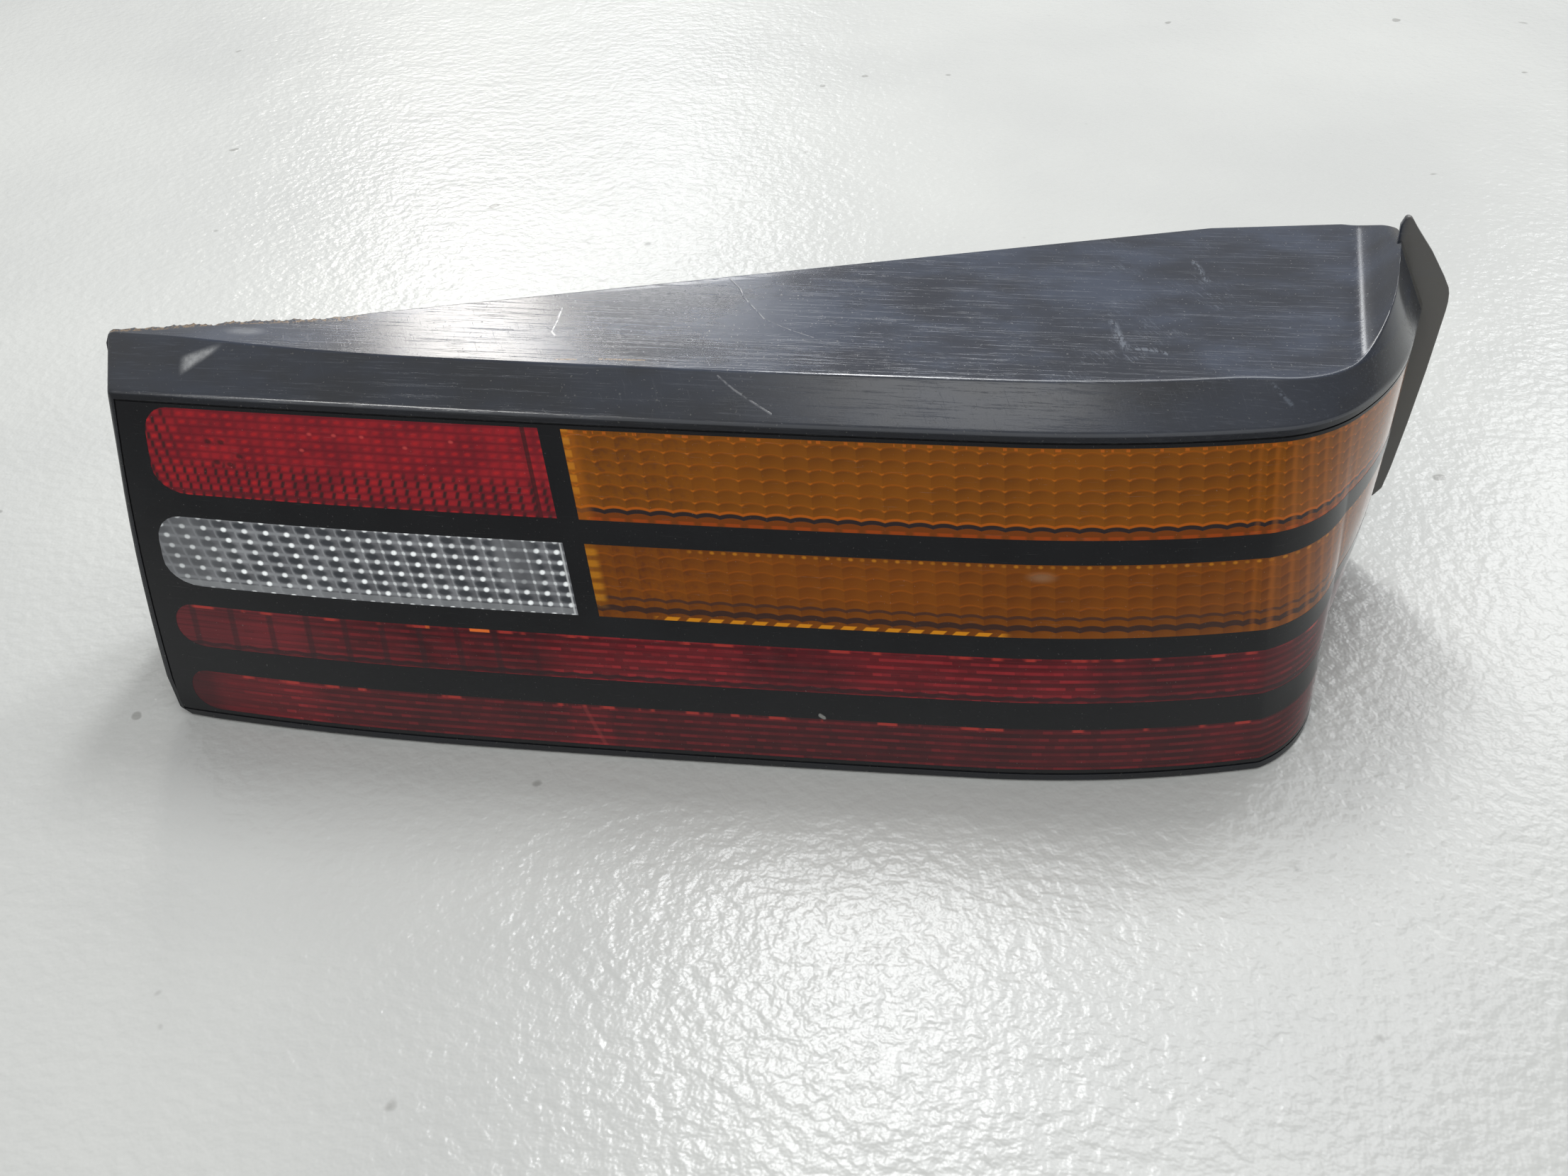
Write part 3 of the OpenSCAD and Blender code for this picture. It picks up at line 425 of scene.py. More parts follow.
class Term:
    """A number inside a material; Python's operators on it add the nodes that work it out."""

    def __init__(self, finish, socket):
        self.finish = finish
        self.socket = socket

    def math(self, operation, *values):
        return self.finish.make("Math", {"operation": operation}, dict(enumerate(values)))

    def __add__(self, other):
        return self.math("ADD", self, other)

    def __sub__(self, other):
        return self.math("SUBTRACT", self, other)

    def __rsub__(self, other):
        return self.math("SUBTRACT", other, self)

    def __mul__(self, other):
        return self.math("MULTIPLY", self, other)

    def __truediv__(self, other):
        return self.math("DIVIDE", self, other)

    def __pow__(self, other):
        return self.math("POWER", self, other)

    def __lt__(self, other):
        return self.math("LESS_THAN", self, other)

    def __gt__(self, other):
        return self.math("GREATER_THAN", self, other)

    def __abs__(self):
        return self.math("ABSOLUTE", self)

    def floor(self):
        return self.math("FLOOR", self)

    def sine(self):
        return self.math("SINE", self)

    def least(self, other):
        return self.math("MINIMUM", self, other)

    def most(self, other):
        return self.math("MAXIMUM", self, other)

    def from_whole(self):
        """How far it lies from the nearest whole number."""
        return self - (self + 0.5).floor()

    def ramp(self, low, high):
        """0 below low and 1 above high, or the reverse where low is the larger, eased between."""
        settings = {"interpolation_type": "SMOOTHSTEP"}
        if low < high:
            values = {0: self, 1: low, 2: high, 3: 0.0, 4: 1.0}
        else:
            values = {0: self, 1: high, 2: low, 3: 1.0, 4: 0.0}
        return self.finish.make("MapRange", settings, values)

    def near(self, centre, half, soft):
        """1 within half of the centre, fading to 0 over a soft width outside it."""
        return abs(self - centre).ramp(half + soft, half)

    __radd__ = __add__
    __rmul__ = __mul__


class Finish:
    """One material in the making: its shader, the places on the lamp, and any node by its kind."""

    def __init__(self, name, roughness, metallic=0.0, specular=0.5):
        self.material = bpy.data.materials.new(name)
        self.material.use_nodes = True
        self.tree = self.material.node_tree
        self.shader = self.tree.nodes["Principled BSDF"]
        self.shader.inputs["Roughness"].default_value = roughness
        self.shader.inputs["Metallic"].default_value = metallic
        self.shader.inputs["Specular IOR Level"].default_value = specular

    def make(self, kind, settings, values, out=0):
        values = {key: getattr(value, "socket", value) for key, value in values.items()}
        return Term(self, add_node(self.tree, "ShaderNode" + kind, settings, values).outputs[out])

    def feed(self, socket, term):
        self.tree.links.new(term.socket, self.shader.inputs[socket])

    def parts(self, vector):
        return [self.make("SeparateXYZ", {}, {0: vector}, k) for k in range(3)]

    def vector(self, x=0.0, y=0.0, z=0.0):
        return self.make("CombineXYZ", {}, {0: x, 1: y, 2: z})

    def drawing(self):
        """X, Y and Z in millimetres of the lamp's drawing."""
        x, y, z = self.parts(self.make("TexCoord", {}, {}, "Object"))
        return x * 1000.0 - SEAT[0], y * 1000.0 - SEAT[1], z * 1000.0

    def lens_place(self):
        """Millimetres along the lens and down its face, kept on the mesh."""
        return self.parts(self.make("UVMap", {"uv_map": "lamp_mm"}, {}))[:2]

    def noise(self, vector, scale, detail=2.0, roughness=0.5):
        return self.make("TexNoise", {}, {"Vector": vector, "Scale": scale, "Detail": detail,
                                          "Roughness": roughness})

    def chance(self, x, y=0.0, z=0.0):
        return self.make("TexWhiteNoise", {}, {"Vector": self.vector(x, y, z)})

    def mix(self, share, first, second):
        return self.make("Mix", {"data_type": "RGBA"}, {0: share, 6: first, 7: second}, 2)

    def ground(self, red, green, blue):
        """The colour that the others are laid over."""
        self.colour = shown(red, green, blue)

    def over(self, share, red, green, blue):
        """A colour laid over those before it, by a share."""
        self.colour = self.mix(share, self.colour, shown(red, green, blue))

    def bump(self, height, distance):
        """Relief of a height, 1 standing for the distance in metres."""
        values = {"Height": height, "Distance": distance, "Strength": 1.0}
        self.feed("Normal", self.make("Bump", {}, values))

    def blob(self, x, y, half_x, half_y, soft=0.35):
        """1 inside an oval round the point where x and y are 0, with a soft edge."""
        away = ((x / half_x) ** 2.0 + (y / half_y) ** 2.0) ** 0.5
        return away.ramp(1.0 + soft, 1.0 - soft)

    def blobs(self, x, y, places, half_x, half_y, soft):
        """1 inside a blob on each of the places."""
        mask = self.blob(x - places[0][0], y - places[0][1], half_x, half_y, soft)
        for at_x, at_y in places[1:]:
            mask = mask.most(self.blob(x - at_x, y - at_y, half_x, half_y, soft))
        return mask

    def line(self, x, y, path, half, soft):
        """1 along a path of points, fading outside its half width."""
        mask = None
        for (x0, y0), (x1, y1) in zip(path, path[1:]):
            dx, dy = x1 - x0, y1 - y0
            span = dx * dx + dy * dy
            u = ((x - x0) * dx + (y - y0) * dy) / span
            u = u.most(0.0).least(1.0)
            away = ((x - x0 - u * dx) ** 2.0 + (y - y0 - u * dy) ** 2.0) ** 0.5
            one = away.ramp(half + soft, half)
            mask = one if mask is None else mask.most(one)
        return mask


def shown(red, green, blue):
    """The linear colour of a displayed one."""
    def linear(c):
        c /= 255.0
        return c / 12.92 if c < 0.04045 else ((c + 0.055) / 1.055) ** 2.4
    return (linear(red), linear(green), linear(blue), 1.0)


def coloured(piece, finish):
    """The piece, its whole mesh in one material."""
    piece.data.materials.clear()
    piece.data.materials.append(finish.material)
    piece.data.polygons.foreach_set("material_index", [0] * len(piece.data.polygons))


# Housing plastic: polished by handling, with a painted blue reflection tint on the shelf top, long
# brushed hairlines along the lamp, rubbed patches on the shelf and a few deeper scratches; painted
# shade below the band and a painted highlight along the lip
plastic = Finish("housing_plastic", 0.3, specular=0.75)
x, y, z = plastic.drawing()
place = plastic.vector(x, y, z)
cloud = plastic.noise(plastic.vector(x * 0.6, y, z), 0.03, 4.0, 0.6)
grain = plastic.noise(place, 1.6, 2.0)
brushed = plastic.noise(plastic.vector(x * 0.035 + y * 0.01, y * 1.3, z * 1.3), 1.0, 4.0, 0.75)
across = plastic.noise(plastic.vector(x * 1.9 + y * 0.9, y * 0.07, z * 0.1), 1.0, 4.0, 0.7)
hair = brushed.ramp(0.52, 0.72) * 0.8 + across.ramp(0.60, 0.74) * 0.35
dust = plastic.noise(place, 0.9, 1.0).ramp(0.70, 0.78)
top = z.ramp(117.0, 118.5)
flat = z.ramp(129.2, 129.8) * (1.0 - z.ramp(130.4, 133.0) * 0.5)
scratch = plastic.line(x, y, [(172.4, 76.5), (177.1, 69.6), (179.3, 63.6), (184.5, 55.4), (188.7, 48.9),
                              (195.7, 44.1), (200.2, 41.5), (207.4, 37.8)], 0.1, 0.3)
short_scratch = plastic.line(x, y, [(177.5, 12.7), (183.5, 8.9), (190.4, 5.6), (196.9, 2.6)], 0.08, 0.3)
scratch = scratch.most(short_scratch) * top * plastic.noise(place, 0.35, 2.0).ramp(0.35, 0.55)
pale = plastic.line(x, y, [(114.8, 51.2), (115.1, 41.8), (114.8, 34.5), (116.9, 31.8)], 0.12, 0.35)
pale = pale * plastic.noise(place, 0.3, 2.0).ramp(0.36, 0.6)
feather = plastic.noise(plastic.vector(x * 0.5 + z * 0.6, y * 0.2, z * 0.9 - x * 0.4), 1.0, 3.0, 0.7)
scuff = plastic.line(x, y, [(311.1, 55.7), (313.0, 46.0), (315.1, 38.7)], 0.2, 2.2)
scuff = scuff.most(plastic.line(x, y, [(318.4, 39.0), (324.0, 38.6), (329.0, 36.6)], 0.2, 1.6))
scuff = scuff.most(plastic.line(x, y, [(342.2, 101.1), (345.8, 87.7)], 0.2, 1.8))
scuff = scuff.most(plastic.line(x, y, [(362.5, 22.2), (368.9, 17.8)], 0.1, 1.0))
wisp = plastic.noise(plastic.vector(x * 0.9 + y * 0.6, y * 0.16 - x * 0.05, z * 0.2), 1.0, 4.0, 0.8)
haze = plastic.noise(place, 0.045, 3.0, 0.6).ramp(0.5, 0.66) * x.ramp(286.0, 300.0) * x.ramp(372.0, 350.0)
scuff = (scuff * feather.ramp(0.42, 0.6) + haze * wisp.ramp(0.5, 0.68) * 0.7 * flat) * top
along, off = x * 0.94 + z * 0.342 - 29.13, abs(z * 0.94 - x * 0.342 - 121.6)
streak = (off - (14.6 - along) * 0.10).ramp(0.9, -0.7) * along.ramp(-1.6, 2.2) * along.ramp(15.0, 9.0)
streak = streak * (y < 20.0) * (0.55 + feather.ramp(0.3, 0.7) * 0.4)
rub = plastic.blob(x - 4.4, y - 26.6, 5.2, 1.9, 0.9) * flat * (0.5 + cloud.ramp(0.4, 0.6) * 0.5)
tan = plastic.line(x, y, [(120.2, 16.6), (127.3, 17.2)], 0.35, 0.3)
tan = tan.most(plastic.line(x, y, [(135.6, 18.0), (151.2, 18.6)], 0.3, 0.35)) * (z > 128.6)
torn_edge = x.ramp(48.0, 38.0) * (y - x * 0.14).ramp(30.4, 31.3) * z.ramp(126.0, 127.5)
edge_wear = plastic.noise(place, 0.5, 3.0).ramp(0.42, 0.54) * torn_edge
tan = tan.most(edge_wear) * plastic.noise(place, 1.3, 2.0).ramp(0.34, 0.52)
flange_side = x.ramp(END_X - 2.5, END_X + 1.0) * y.ramp(END_Y - 8.0, END_Y - 5.0)
plastic.ground(42, 44, 49)
# Painted reflection: the shelf top is laid over in a darker blue that stands for the sky reflected in it.
plastic.over(flat, 24, 30, 44)
plastic.over(cloud.ramp(0.36, 0.66) * (0.25 + flat * 0.3), 66, 77, 98)
plastic.over(hair * 0.24, 110, 116, 128)
# Painted shade: towards the front, the housing below the band's lip is darkened where the band shades it.
plastic.over((1.0 - top) * y.ramp(60.0, 20.0) * 0.7, 20, 20, 22)
# Painted highlight: a paler line along the lip stands for the glint on its rounded edge; its roughness is
# lowered there too.
painted_lip_highlight = z.near(118.1, 0.3, 0.4) * y.ramp(60.0, 30.0) * x.ramp(-20.0, 20.0)
plastic.over(painted_lip_highlight * 0.35, 126, 128, 132)
plastic.over(flange_side * 0.65, 118, 115, 108)
plastic.over(dust * 0.2, 150, 148, 140)
plastic.over(scratch * 0.5, 150, 152, 156)
plastic.over(scuff * 0.3, 136, 146, 160)
plastic.over(pale.most(streak * 0.8) * top * 0.8, 205, 206, 206)
plastic.over(rub * 0.45, 160, 164, 170)
plastic.over(tan * 0.8, 138, 112, 80)
plastic.feed("Base Color", plastic.colour)
dull = dust * 0.2 + scuff * 0.15 + flange_side * 0.2 + rub * 0.15 + streak * 0.2
plastic.feed("Roughness", 0.15 + cloud * 0.08 + hair * 0.1 - painted_lip_highlight * 0.06 + dull)
plastic.bump((grain * 0.25 - hair * 0.5) * z.ramp(131.5, 130.2) - scratch * 1.5, 0.00004)
coloured(housing, plastic)


# Lens: one moulding of acrylic, 3 mm thick, whose black frame and bars are a second shot round
# the coloured windows. Its face is a grid of stations along it and rows down it.
LENS_T, WINDOW_IN = 3.0, 0.05
ROWS = ((1.2, 31.1), (39.3, 64.2), (71.4, 86.9), (96.3, 110.8))
MARGIN, DIVIDER_W, RIM_END, END_FADE = 9.5, 8.0, 2.5, 14.0
STARTS = (9.5, 7.2, 6.8, 6.5)


def stations(start, end):
    """Stations along the lens from start to end, close together round the corner."""
    marks = [s for s in np.arange(-2.0, 312.0, 6.0)] + [s for s in np.arange(312.0, 402.0, 3.0)]
    marks += [s for s in np.arange(402.0, 438.0, 1.0)] + [s for s in np.arange(438.0, 520.0, 2.0)]
    return [start] + [float(s) for s in marks if start + 0.4 < s < end - 0.4] + [end]


def slab(name, columns, rows, front, back, keep=None, shift=None):
    """A plate of the lens wall between two depths, a cell of its grid left out where keep says."""
    across, down = len(columns), len(rows)
    points, flat = [], []
    for depth in (front, back):
        for i, s in enumerate(columns):
            for j, t in enumerate(rows):
                s_here = s + (shift(i, j) if shift else 0.0)
                points.append(lens_point(s_here, t, depth))
                flat.append((s_here, t))
    layer = across * down
    cells = [(i, j) for i in range(across - 1) for j in range(down - 1) if keep is None or keep(i, j)]
    faces, edges = [], {}
    for i, j in cells:
        ring = [i * down + j, (i + 1) * down + j, (i + 1) * down + j + 1, i * down + j + 1]
        faces += [ring[::-1], [k + layer for k in ring]]
        for a, b in zip(ring, ring[1:] + ring[:1]):
            if edges.pop((b, a), None) is None:
                edges[(a, b)] = True
    faces += [[a, b, b + layer, a + layer] for a, b in edges]
    piece = mesh_piece(name, points, faces, flat)
    work = bmesh.new()
    work.from_mesh(piece.data)
    loose = [v for v in work.verts if not v.link_faces]
    bmesh.ops.delete(work, geom=loose, context="VERTS")
    work.to_mesh(piece.data)
    work.free()
    shade(piece, 30.0)
    return piece


def corner_radius(top, bottom):
    """The rounding of a window's inner end, nearly a half circle on the low ones."""
    return min(9.0, 0.46 * (bottom - top))


def round_rows(top, bottom):
    """Rows down a window, close together where its rounded corners turn."""
    radius = corner_radius(top, bottom)
    turn = [radius * (1.0 - math.cos(a)) for a in np.linspace(0.0, math.pi / 2, 7)]
    middle = np.linspace(top + radius, bottom - radius, max(2, int((bottom - top - 2 * radius) / 3) + 2))
    return [top + v for v in turn] + [float(v) for v in middle[1:-1]] + [bottom - v for v in turn[::-1]]


def rounding(t, top, bottom):
    """How far the rounded end of a window draws in at a row."""
    radius = corner_radius(top, bottom)
    d = max(0.0, radius - min(t - top, bottom - t))
    longer = 1.3 if bottom - t < t - top else 1.0
    return longer * (radius - math.sqrt(max(0.0, radius * radius - d * d)))


def window(name, number, start, end, is_round):
    """A window in its row, flush with the frame's back and a hair under its face."""
    top, bottom = ROWS[number]
    rows = round_rows(top, bottom)
    columns = stations(start, end)

    def shift(i, j):
        fade = max(0.0, 1.0 - (columns[i] - start) / END_FADE)
        return rounding(rows[j], top, bottom) * fade if is_round else 0.0

    piece = slab(name, columns, rows, WINDOW_IN, LENS_T, shift=shift)
    stands_for(piece, name.replace("_window", ""))
    return piece


AMBER_FROM, WINDOW_TO = DIVIDER + DIVIDER_W, S_LENS - RIM_END
fog = window("lens_fog_window", 0, STARTS[0], DIVIDER, True)
reverse = window("lens_reverse_window", 1, STARTS[1], DIVIDER, True)
amber_up = window("lens_amber_upper_window", 0, AMBER_FROM, WINDOW_TO, False)
amber_low = window("lens_amber_lower_window", 1, AMBER_FROM, WINDOW_TO, False)
red_up = window("lens_red_upper_window", 2, STARTS[2], WINDOW_TO, True)
red_low = window("lens_red_lower_window", 3, STARTS[3], WINDOW_TO, True)

# The frame and its bars, with the windows' places left out of the grid
rows = [0.0]
for top, bottom in ROWS:
    rows += round_rows(top, bottom)
rows.append(LENS_H)
columns = [0.0, 2.0, 4.0, 6.0, MARGIN, MARGIN + END_FADE]
columns += stations(MARGIN + END_FADE, DIVIDER)[1:] + stations(DIVIDER, AMBER_FROM)[1:]
columns += stations(AMBER_FROM, WINDOW_TO)[1:] + [S_LENS]


def frame_shift(i, j):
    """The column beside the windows follows their rounded inner ends."""
    if columns[i] != MARGIN:
        return 0.0
    for start, (top, bottom) in zip(STARTS, ROWS):
        if top - 1e-6 <= rows[j] <= bottom + 1e-6:
            return start - MARGIN + rounding(rows[j], top, bottom)
    return 0.0


def frame_cell(i, j):
    """Whether a cell of the grid belongs to the frame and not to a window."""
    s, t = (columns[i] + columns[i + 1]) / 2, (rows[j] + rows[j + 1]) / 2
    number = [k for k, (top, bottom) in enumerate(ROWS) if top < t < bottom]
    if not number or s < MARGIN or s > WINDOW_TO:
        return True
    return number[0] < 2 and DIVIDER < s < AMBER_FROM


grid = slab("lens_frame", columns, rows, 0.0, LENS_T, keep=frame_cell, shift=frame_shift)
stands_for(grid, "lens_grid")

black = Finish("lens_frame_black", 0.16, specular=0.5)
s, t = black.lens_place()
place = black.vector(s, t)
film = black.noise(place, 0.05, 3.0)
lint = black.noise(place, 1.1, 2.0).ramp(0.68, 0.76)
hairline = black.noise(black.vector(s * 0.06, t * 2.0), 1.0, 4.0, 0.7).ramp(0.62, 0.72)
black.ground(24, 24, 26)
black.over(film * 0.5, 38, 40, 43)
black.over(lint * 0.35 + hairline * 0.12, 120, 120, 118)
black.over(black.line(s, t, [(240.2, 95.0), (241.6, 95.8)], 0.4, 0.5), 150, 150, 146)
black.feed("Base Color", black.colour)
black.feed("Roughness", 0.14 + film * 0.1 + lint * 0.3 + hairline * 0.1)
black.bump(film, 0.00008)
coloured(grid, black)


# Clear window: the acrylic's inner face carries rows of small pillow lenses in slanted columns, whose
# look is painted: a glint on each over painted shade in its hollow, and paler painted light along the rows
# and between the columns. They are drawn on the face in its own millimetres.
def lens_gloss(finish, s, t, glow_gain):
    """The outer skin that all windows share: polished, with lint and hairlines from handling; its colours
    are then scaled up by a gain as painted light, so the windows glow.
    """
    place = finish.vector(s, t)
    lint = finish.noise(place, 1.3, 2.0).ramp(0.70, 0.78)
    hairline = finish.noise(finish.vector(s * 0.07 + t * 0.03, t * 2.3), 1.0, 4.0, 0.7).ramp(0.63, 0.73)
    finish.over(lint * 0.16 + hairline * 0.07, 190, 186, 178)
    # Painted light: the window's colour is scaled up by a gain, so that it glows as if lit from behind.
    painted_light = finish.make("VectorMath", {"operation": "SCALE"}, {0: finish.colour, 3: glow_gain})
    finish.feed("Base Color", painted_light)
    finish.feed("Roughness", 0.1 + lint * 0.3 + hairline * 0.12)
    finish.bump(hairline * -0.4 + finish.noise(place, 0.12, 1.0), 0.00005)


clear = Finish("lens_clear_optics", 0.12)
s, t = clear.lens_place()
PILLOW_W, PILLOW_H, FIRST_PILLOW = 7.5, 3.63, 39.1
u = (s - (t - FIRST_PILLOW) * (0.356 - s * 0.002) - 37.7) / PILLOW_W
v = (t - FIRST_PILLOW) / PILLOW_H
column, row = (u + 0.5).floor(), (v + 0.5).floor()
du, dv = (u - column) * PILLOW_W, (v - row) * PILLOW_H
luck = clear.chance(column, row)
wobble = clear.chance(column, row, 7.0)
# Painted highlight: a glint on each pillow, its strength random.
glint = clear.blob(du + dv * 0.35 + wobble * 0.5 - 0.25, dv, 0.95, 0.75, 0.45)
glint = glint * (0.5 + luck * 0.8).least(1.0)
# Painted highlight: fainter second glints between the columns.
second = clear.blob(abs(du) - PILLOW_W / 2, dv, 0.6, 0.6, 0.5) * (s > 80.0) * 0.5
# Painted shade in the hollow between the rows of pillows.
hollow_shade = clear.blob(du + 1.1, (v - v.floor() - 0.5) * PILLOW_H, 2.75, 1.15, 0.45)
# Painted light: paler between the columns and along the rows of glints.
stripe = abs(du).ramp(2.9, 3.6) * 0.35
ledge = abs(dv).ramp(0.8, 0.2) * 0.35
blur = clear.noise(clear.vector(s, t), 0.09, 3.0)
murk = s.near(135.0, 5.0, 4.0) * t.ramp(57.0, 54.0)
left = s.ramp(36.0, 16.0)
quiet = (1.0 - murk * 0.85) * (1.0 - left * 0.55)
clear.ground(88, 89, 92)
clear.over(blur.ramp(0.35, 0.7), 118, 119, 122)
clear.over(stripe.most(ledge), 164, 167, 170)
clear.over(hollow_shade * 0.9 * quiet, 50, 53, 57)
clear.over(left * 0.45 + murk * 0.3, 84, 86, 88)
strip = t.near(62.9, 0.8, 0.3)
clear.over(strip * 0.7, 128, 130, 132)
clear.over((glint * quiet).most(second) * (1.0 - strip), 246, 250, 250)
clear.over(s.near(152.0, 0.25, 0.2) * 0.7, 190, 192, 192)
lens_gloss(clear, s, t, 1.85)
coloured(reverse, clear)

# Red window over the fog lamp: the acrylic is dyed through, and its inner face carries small slanted pips
# in columns, each with a painted highlight of random strength, a few left unlit and painted darker, and a
# few painted glints.
PIP_W, PIP_H = 4.5, 2.78
red = Finish("lens_red_optics", 0.12)
s, t = red.lens_place()
lean = (50.0 - s) / 35.0
u = (s - (t - ROWS[0][0]) * 0.33 * lean.most(0.0).least(1.2)) / PIP_W
v = (t - 3.0) / PIP_H
column, row = (u + 0.5).floor(), (v + 0.5).floor()
du, dv = (u - column) * PIP_W, (v - row) * PIP_H
luck = red.chance(column, row)
pip = red.blob(du + dv * 0.55, dv, 1.1, 0.6, 0.5)
low = t.ramp(17.0, 22.0).most(s.ramp(24.0, 14.0))
gap = abs(du + dv * 0.4).ramp(1.2, 2.0) * (0.2 + low * 0.8) * abs(dv).ramp(1.5, 0.8)
cloud = red.noise(red.vector(s * 0.6, t), 0.1, 3.0)
red.ground(126, 28, 38)
red.over(cloud.ramp(0.35, 0.68), 156, 34, 42)
red.over(abs(dv).ramp(0.7, 1.35) * 0.5, 96, 22, 32)
red.over(gap, 66, 32, 34)
# Painted highlight on each pip, its strength random.
red.over(pip * (0.1 + luck * 0.6), 190, 36, 38)
# Painted shade: a few pips are left unlit and darkened.
unlit_pips = [(32.0, 12.0), (36.7, 12.0), (38.5, 19.5), (33.9, 19.0), (42.5, 16.5)]
red.over(red.blobs(s, t, unlit_pips, 1.2, 0.8, 0.5) * 0.8, 58, 28, 30)
# Painted glints: a few bright spots.
glint_spots = [(70.0, 7.4), (78.9, 7.4), (89.0, 7.4), (66.0, 13.0), (104.0, 10.2), (121.0, 7.4)]
red.over(red.blobs(s, t, glint_spots, 0.8, 0.5, 0.6) * 0.5, 230, 90, 84)
red.over(s.near(147.5, 0.65, 0.3) * 0.8, 58, 28, 30)
red.over(t.near(29.7, 0.7, 0.4) * 0.6, 88, 30, 36)
lens_gloss(red, s, t, 1.38)
coloured(fog, red)


# Amber windows: courses of small arches, each arch a prism 8.3 mm wide with a painted highlight on its
# upper edge and painted shade under it, crossed by a dark scalloped line where the reflector's edge shows
# through near the bottom.
ARCH_W = 8.3


def courses(finish, first, pitch, last, edge_light, colours):
    """The courses of arches, from the first springing down to the last row. The colours are those of
    the painted shade under each arch, the lighter crown it fades to, the slow change, the brown mottle,
    the painted highlight on each arch's edge and the painted light on one half of it."""
    hollow_shade, crown, drift, brown, lit_edge, lit_half = colours
    s, t = finish.lens_place()
    u = (s - 278.8) / ARCH_W + (s - 390.0).most(0.0) * 0.046
    p = u - u.floor() - 0.5
    rise = (p * 2.0) ** 2.0 * 0.9
    v = (t - first - rise) / pitch
    course = v - v.floor()
    luck = finish.chance(u.floor(), v.floor())
    mottle = finish.noise(finish.vector(s, t), 0.45, 3.0)
    slow = finish.noise(finish.vector(s * 0.5, t), 0.05, 2.0)
    # Painted shading: each course is darkest under its arch and lightens towards the next.
    finish.ground(*hollow_shade)
    finish.over(course, *crown)
    finish.over(slow.ramp(0.35, 0.7) * 0.4, *drift)
    finish.over(mottle.ramp(0.45, 0.7) * s.ramp(230.0, 180.0) * 0.5, *brown)
    # Painted highlight along each arch's upper edge, and painted light on one half of each arch.
    edge = course.ramp(0.16, 0.04).most(course.ramp(0.94, 0.99)) * t.ramp(last, last - 1.0)
    finish.over(edge * (edge_light + luck * 0.35), *lit_edge)
    finish.over((p + luck * 0.2 - 0.1).ramp(-0.3, 0.4) * 0.3, *lit_half)
    return s, t, p, rise, course, edge


def amber_skin(finish, s, t, p, course):
    """The bright uprights round the corner, and the skin over the whole window."""
    corner = s.ramp(392.0, 400.0) * s.ramp(446.0, 438.0)
    finish.over((p + course * 0.08).near(0.1, 0.02, 0.22) * corner * 0.3, 190, 108, 30)
    lens_gloss(finish, s, t, 1.33)


amber = Finish("lens_amber_optics", 0.12)
s, t, p, rise, course, edge = courses(amber, 6.5, 4.05, 26.5, 0.2, (
    (104, 58, 10), (134, 76, 8), (148, 84, 8), (92, 52, 28), (180, 92, 8), (150, 88, 12)))
# Painted highlight: a bright point where the arches meet.
cusp_glint = abs(p).ramp(0.36, 0.48) * edge
amber.over(cusp_glint * 0.55, 206, 112, 18)
seam = t - 27.2 - rise * 0.8
# Painted highlight: a thin bright line just over the dark scalloped line.
amber.over(seam.near(-1.0, 0.25, 0.3) * 0.7, 196, 96, 18)
amber.over(seam.ramp(0.5, 1.2), 122, 60, 12)
amber.over(seam.near(0.2, 0.55, 0.25), 46, 36, 36)
dash = t.near(30.5, 0.4, 0.3) * abs(p).ramp(0.42, 0.25)
amber.over(dash * 0.6, 176, 72, 14)
speck = t.near(1.9, 0.3, 0.3) * (amber.noise(amber.vector(s), 0.35, 2.0) > 0.55)
amber.over(speck * 0.7, 196, 100, 24)
# Painted highlights down the first column, and a painted glow along the window's inner end.
first_column_glints = s.near(162.3, 0.8, 0.8) * ((t - 5.0) / 4.1).from_whole().near(0.0, 0.18, 0.2)
amber.over(first_column_glints * t.ramp(26.0, 20.0) * 0.6, 224, 150, 40)
amber.over(s.near(163.0, 1.0, 4.0) * 0.35, 196, 112, 24)
amber_skin(amber, s, t, p, course)
coloured(amber_up, amber)

low_amber = Finish("lens_amber_optics_low", 0.12)
s, t, p, rise, course, _ = courses(low_amber, 42.0, 3.87, 56.5, 0.15, (
    (102, 54, 12), (128, 68, 10), (140, 76, 10), (88, 46, 26), (178, 90, 10), (144, 82, 12)))
dot = s / (ARCH_W / 2)
pair = (dot * 0.5 + 0.25).floor() - (dot + 0.5).floor() * 0.5
dots = low_amber.blob(dot.from_whole() * (ARCH_W / 2), t - 40.1, 0.8, 0.5, 0.5)
dots = dots * s.ramp(196.0, 202.0) * (1.0 - abs(pair) * 0.9)
low_amber.over(dots * 0.5, 224, 146, 34)
wave = t - rise * 0.8
low_amber.over(wave.near(57.2, 0.35, 0.3) * 0.8, 62, 42, 36)
low_amber.over(wave.near(60.7, 0.75, 0.35) * 0.9, 50, 36, 34)
trace = (s + (t - 63.7) * 1.2) / 8.2
slant = t.near(63.6, 0.5, 0.35) * trace.from_whole().near(0.0, 0.26, 0.08)
slant = slant * s.ramp(181.0, 186.0) * s.ramp(314.0, 308.0)
low_amber.over(slant * 0.9, 226, 146, 24)
# Painted glow down the window's inner end, with painted highlights in beads.
glow = s.near(162.0, 1.5, 3.0) * t.ramp(62.0, 58.0)
beads = ((t - 42.0) / 3.9).from_whole().near(0.0, 0.16, 0.26)
low_amber.over(glow * (0.15 + beads * 0.45), 212, 140, 30)
low_amber.over(low_amber.blob(s - 324.0, t - 43.5, 4.0, 1.4, 0.8) * 0.35, 170, 140, 110)
amber_skin(low_amber, s, t, p, course)
coloured(amber_low, low_amber)

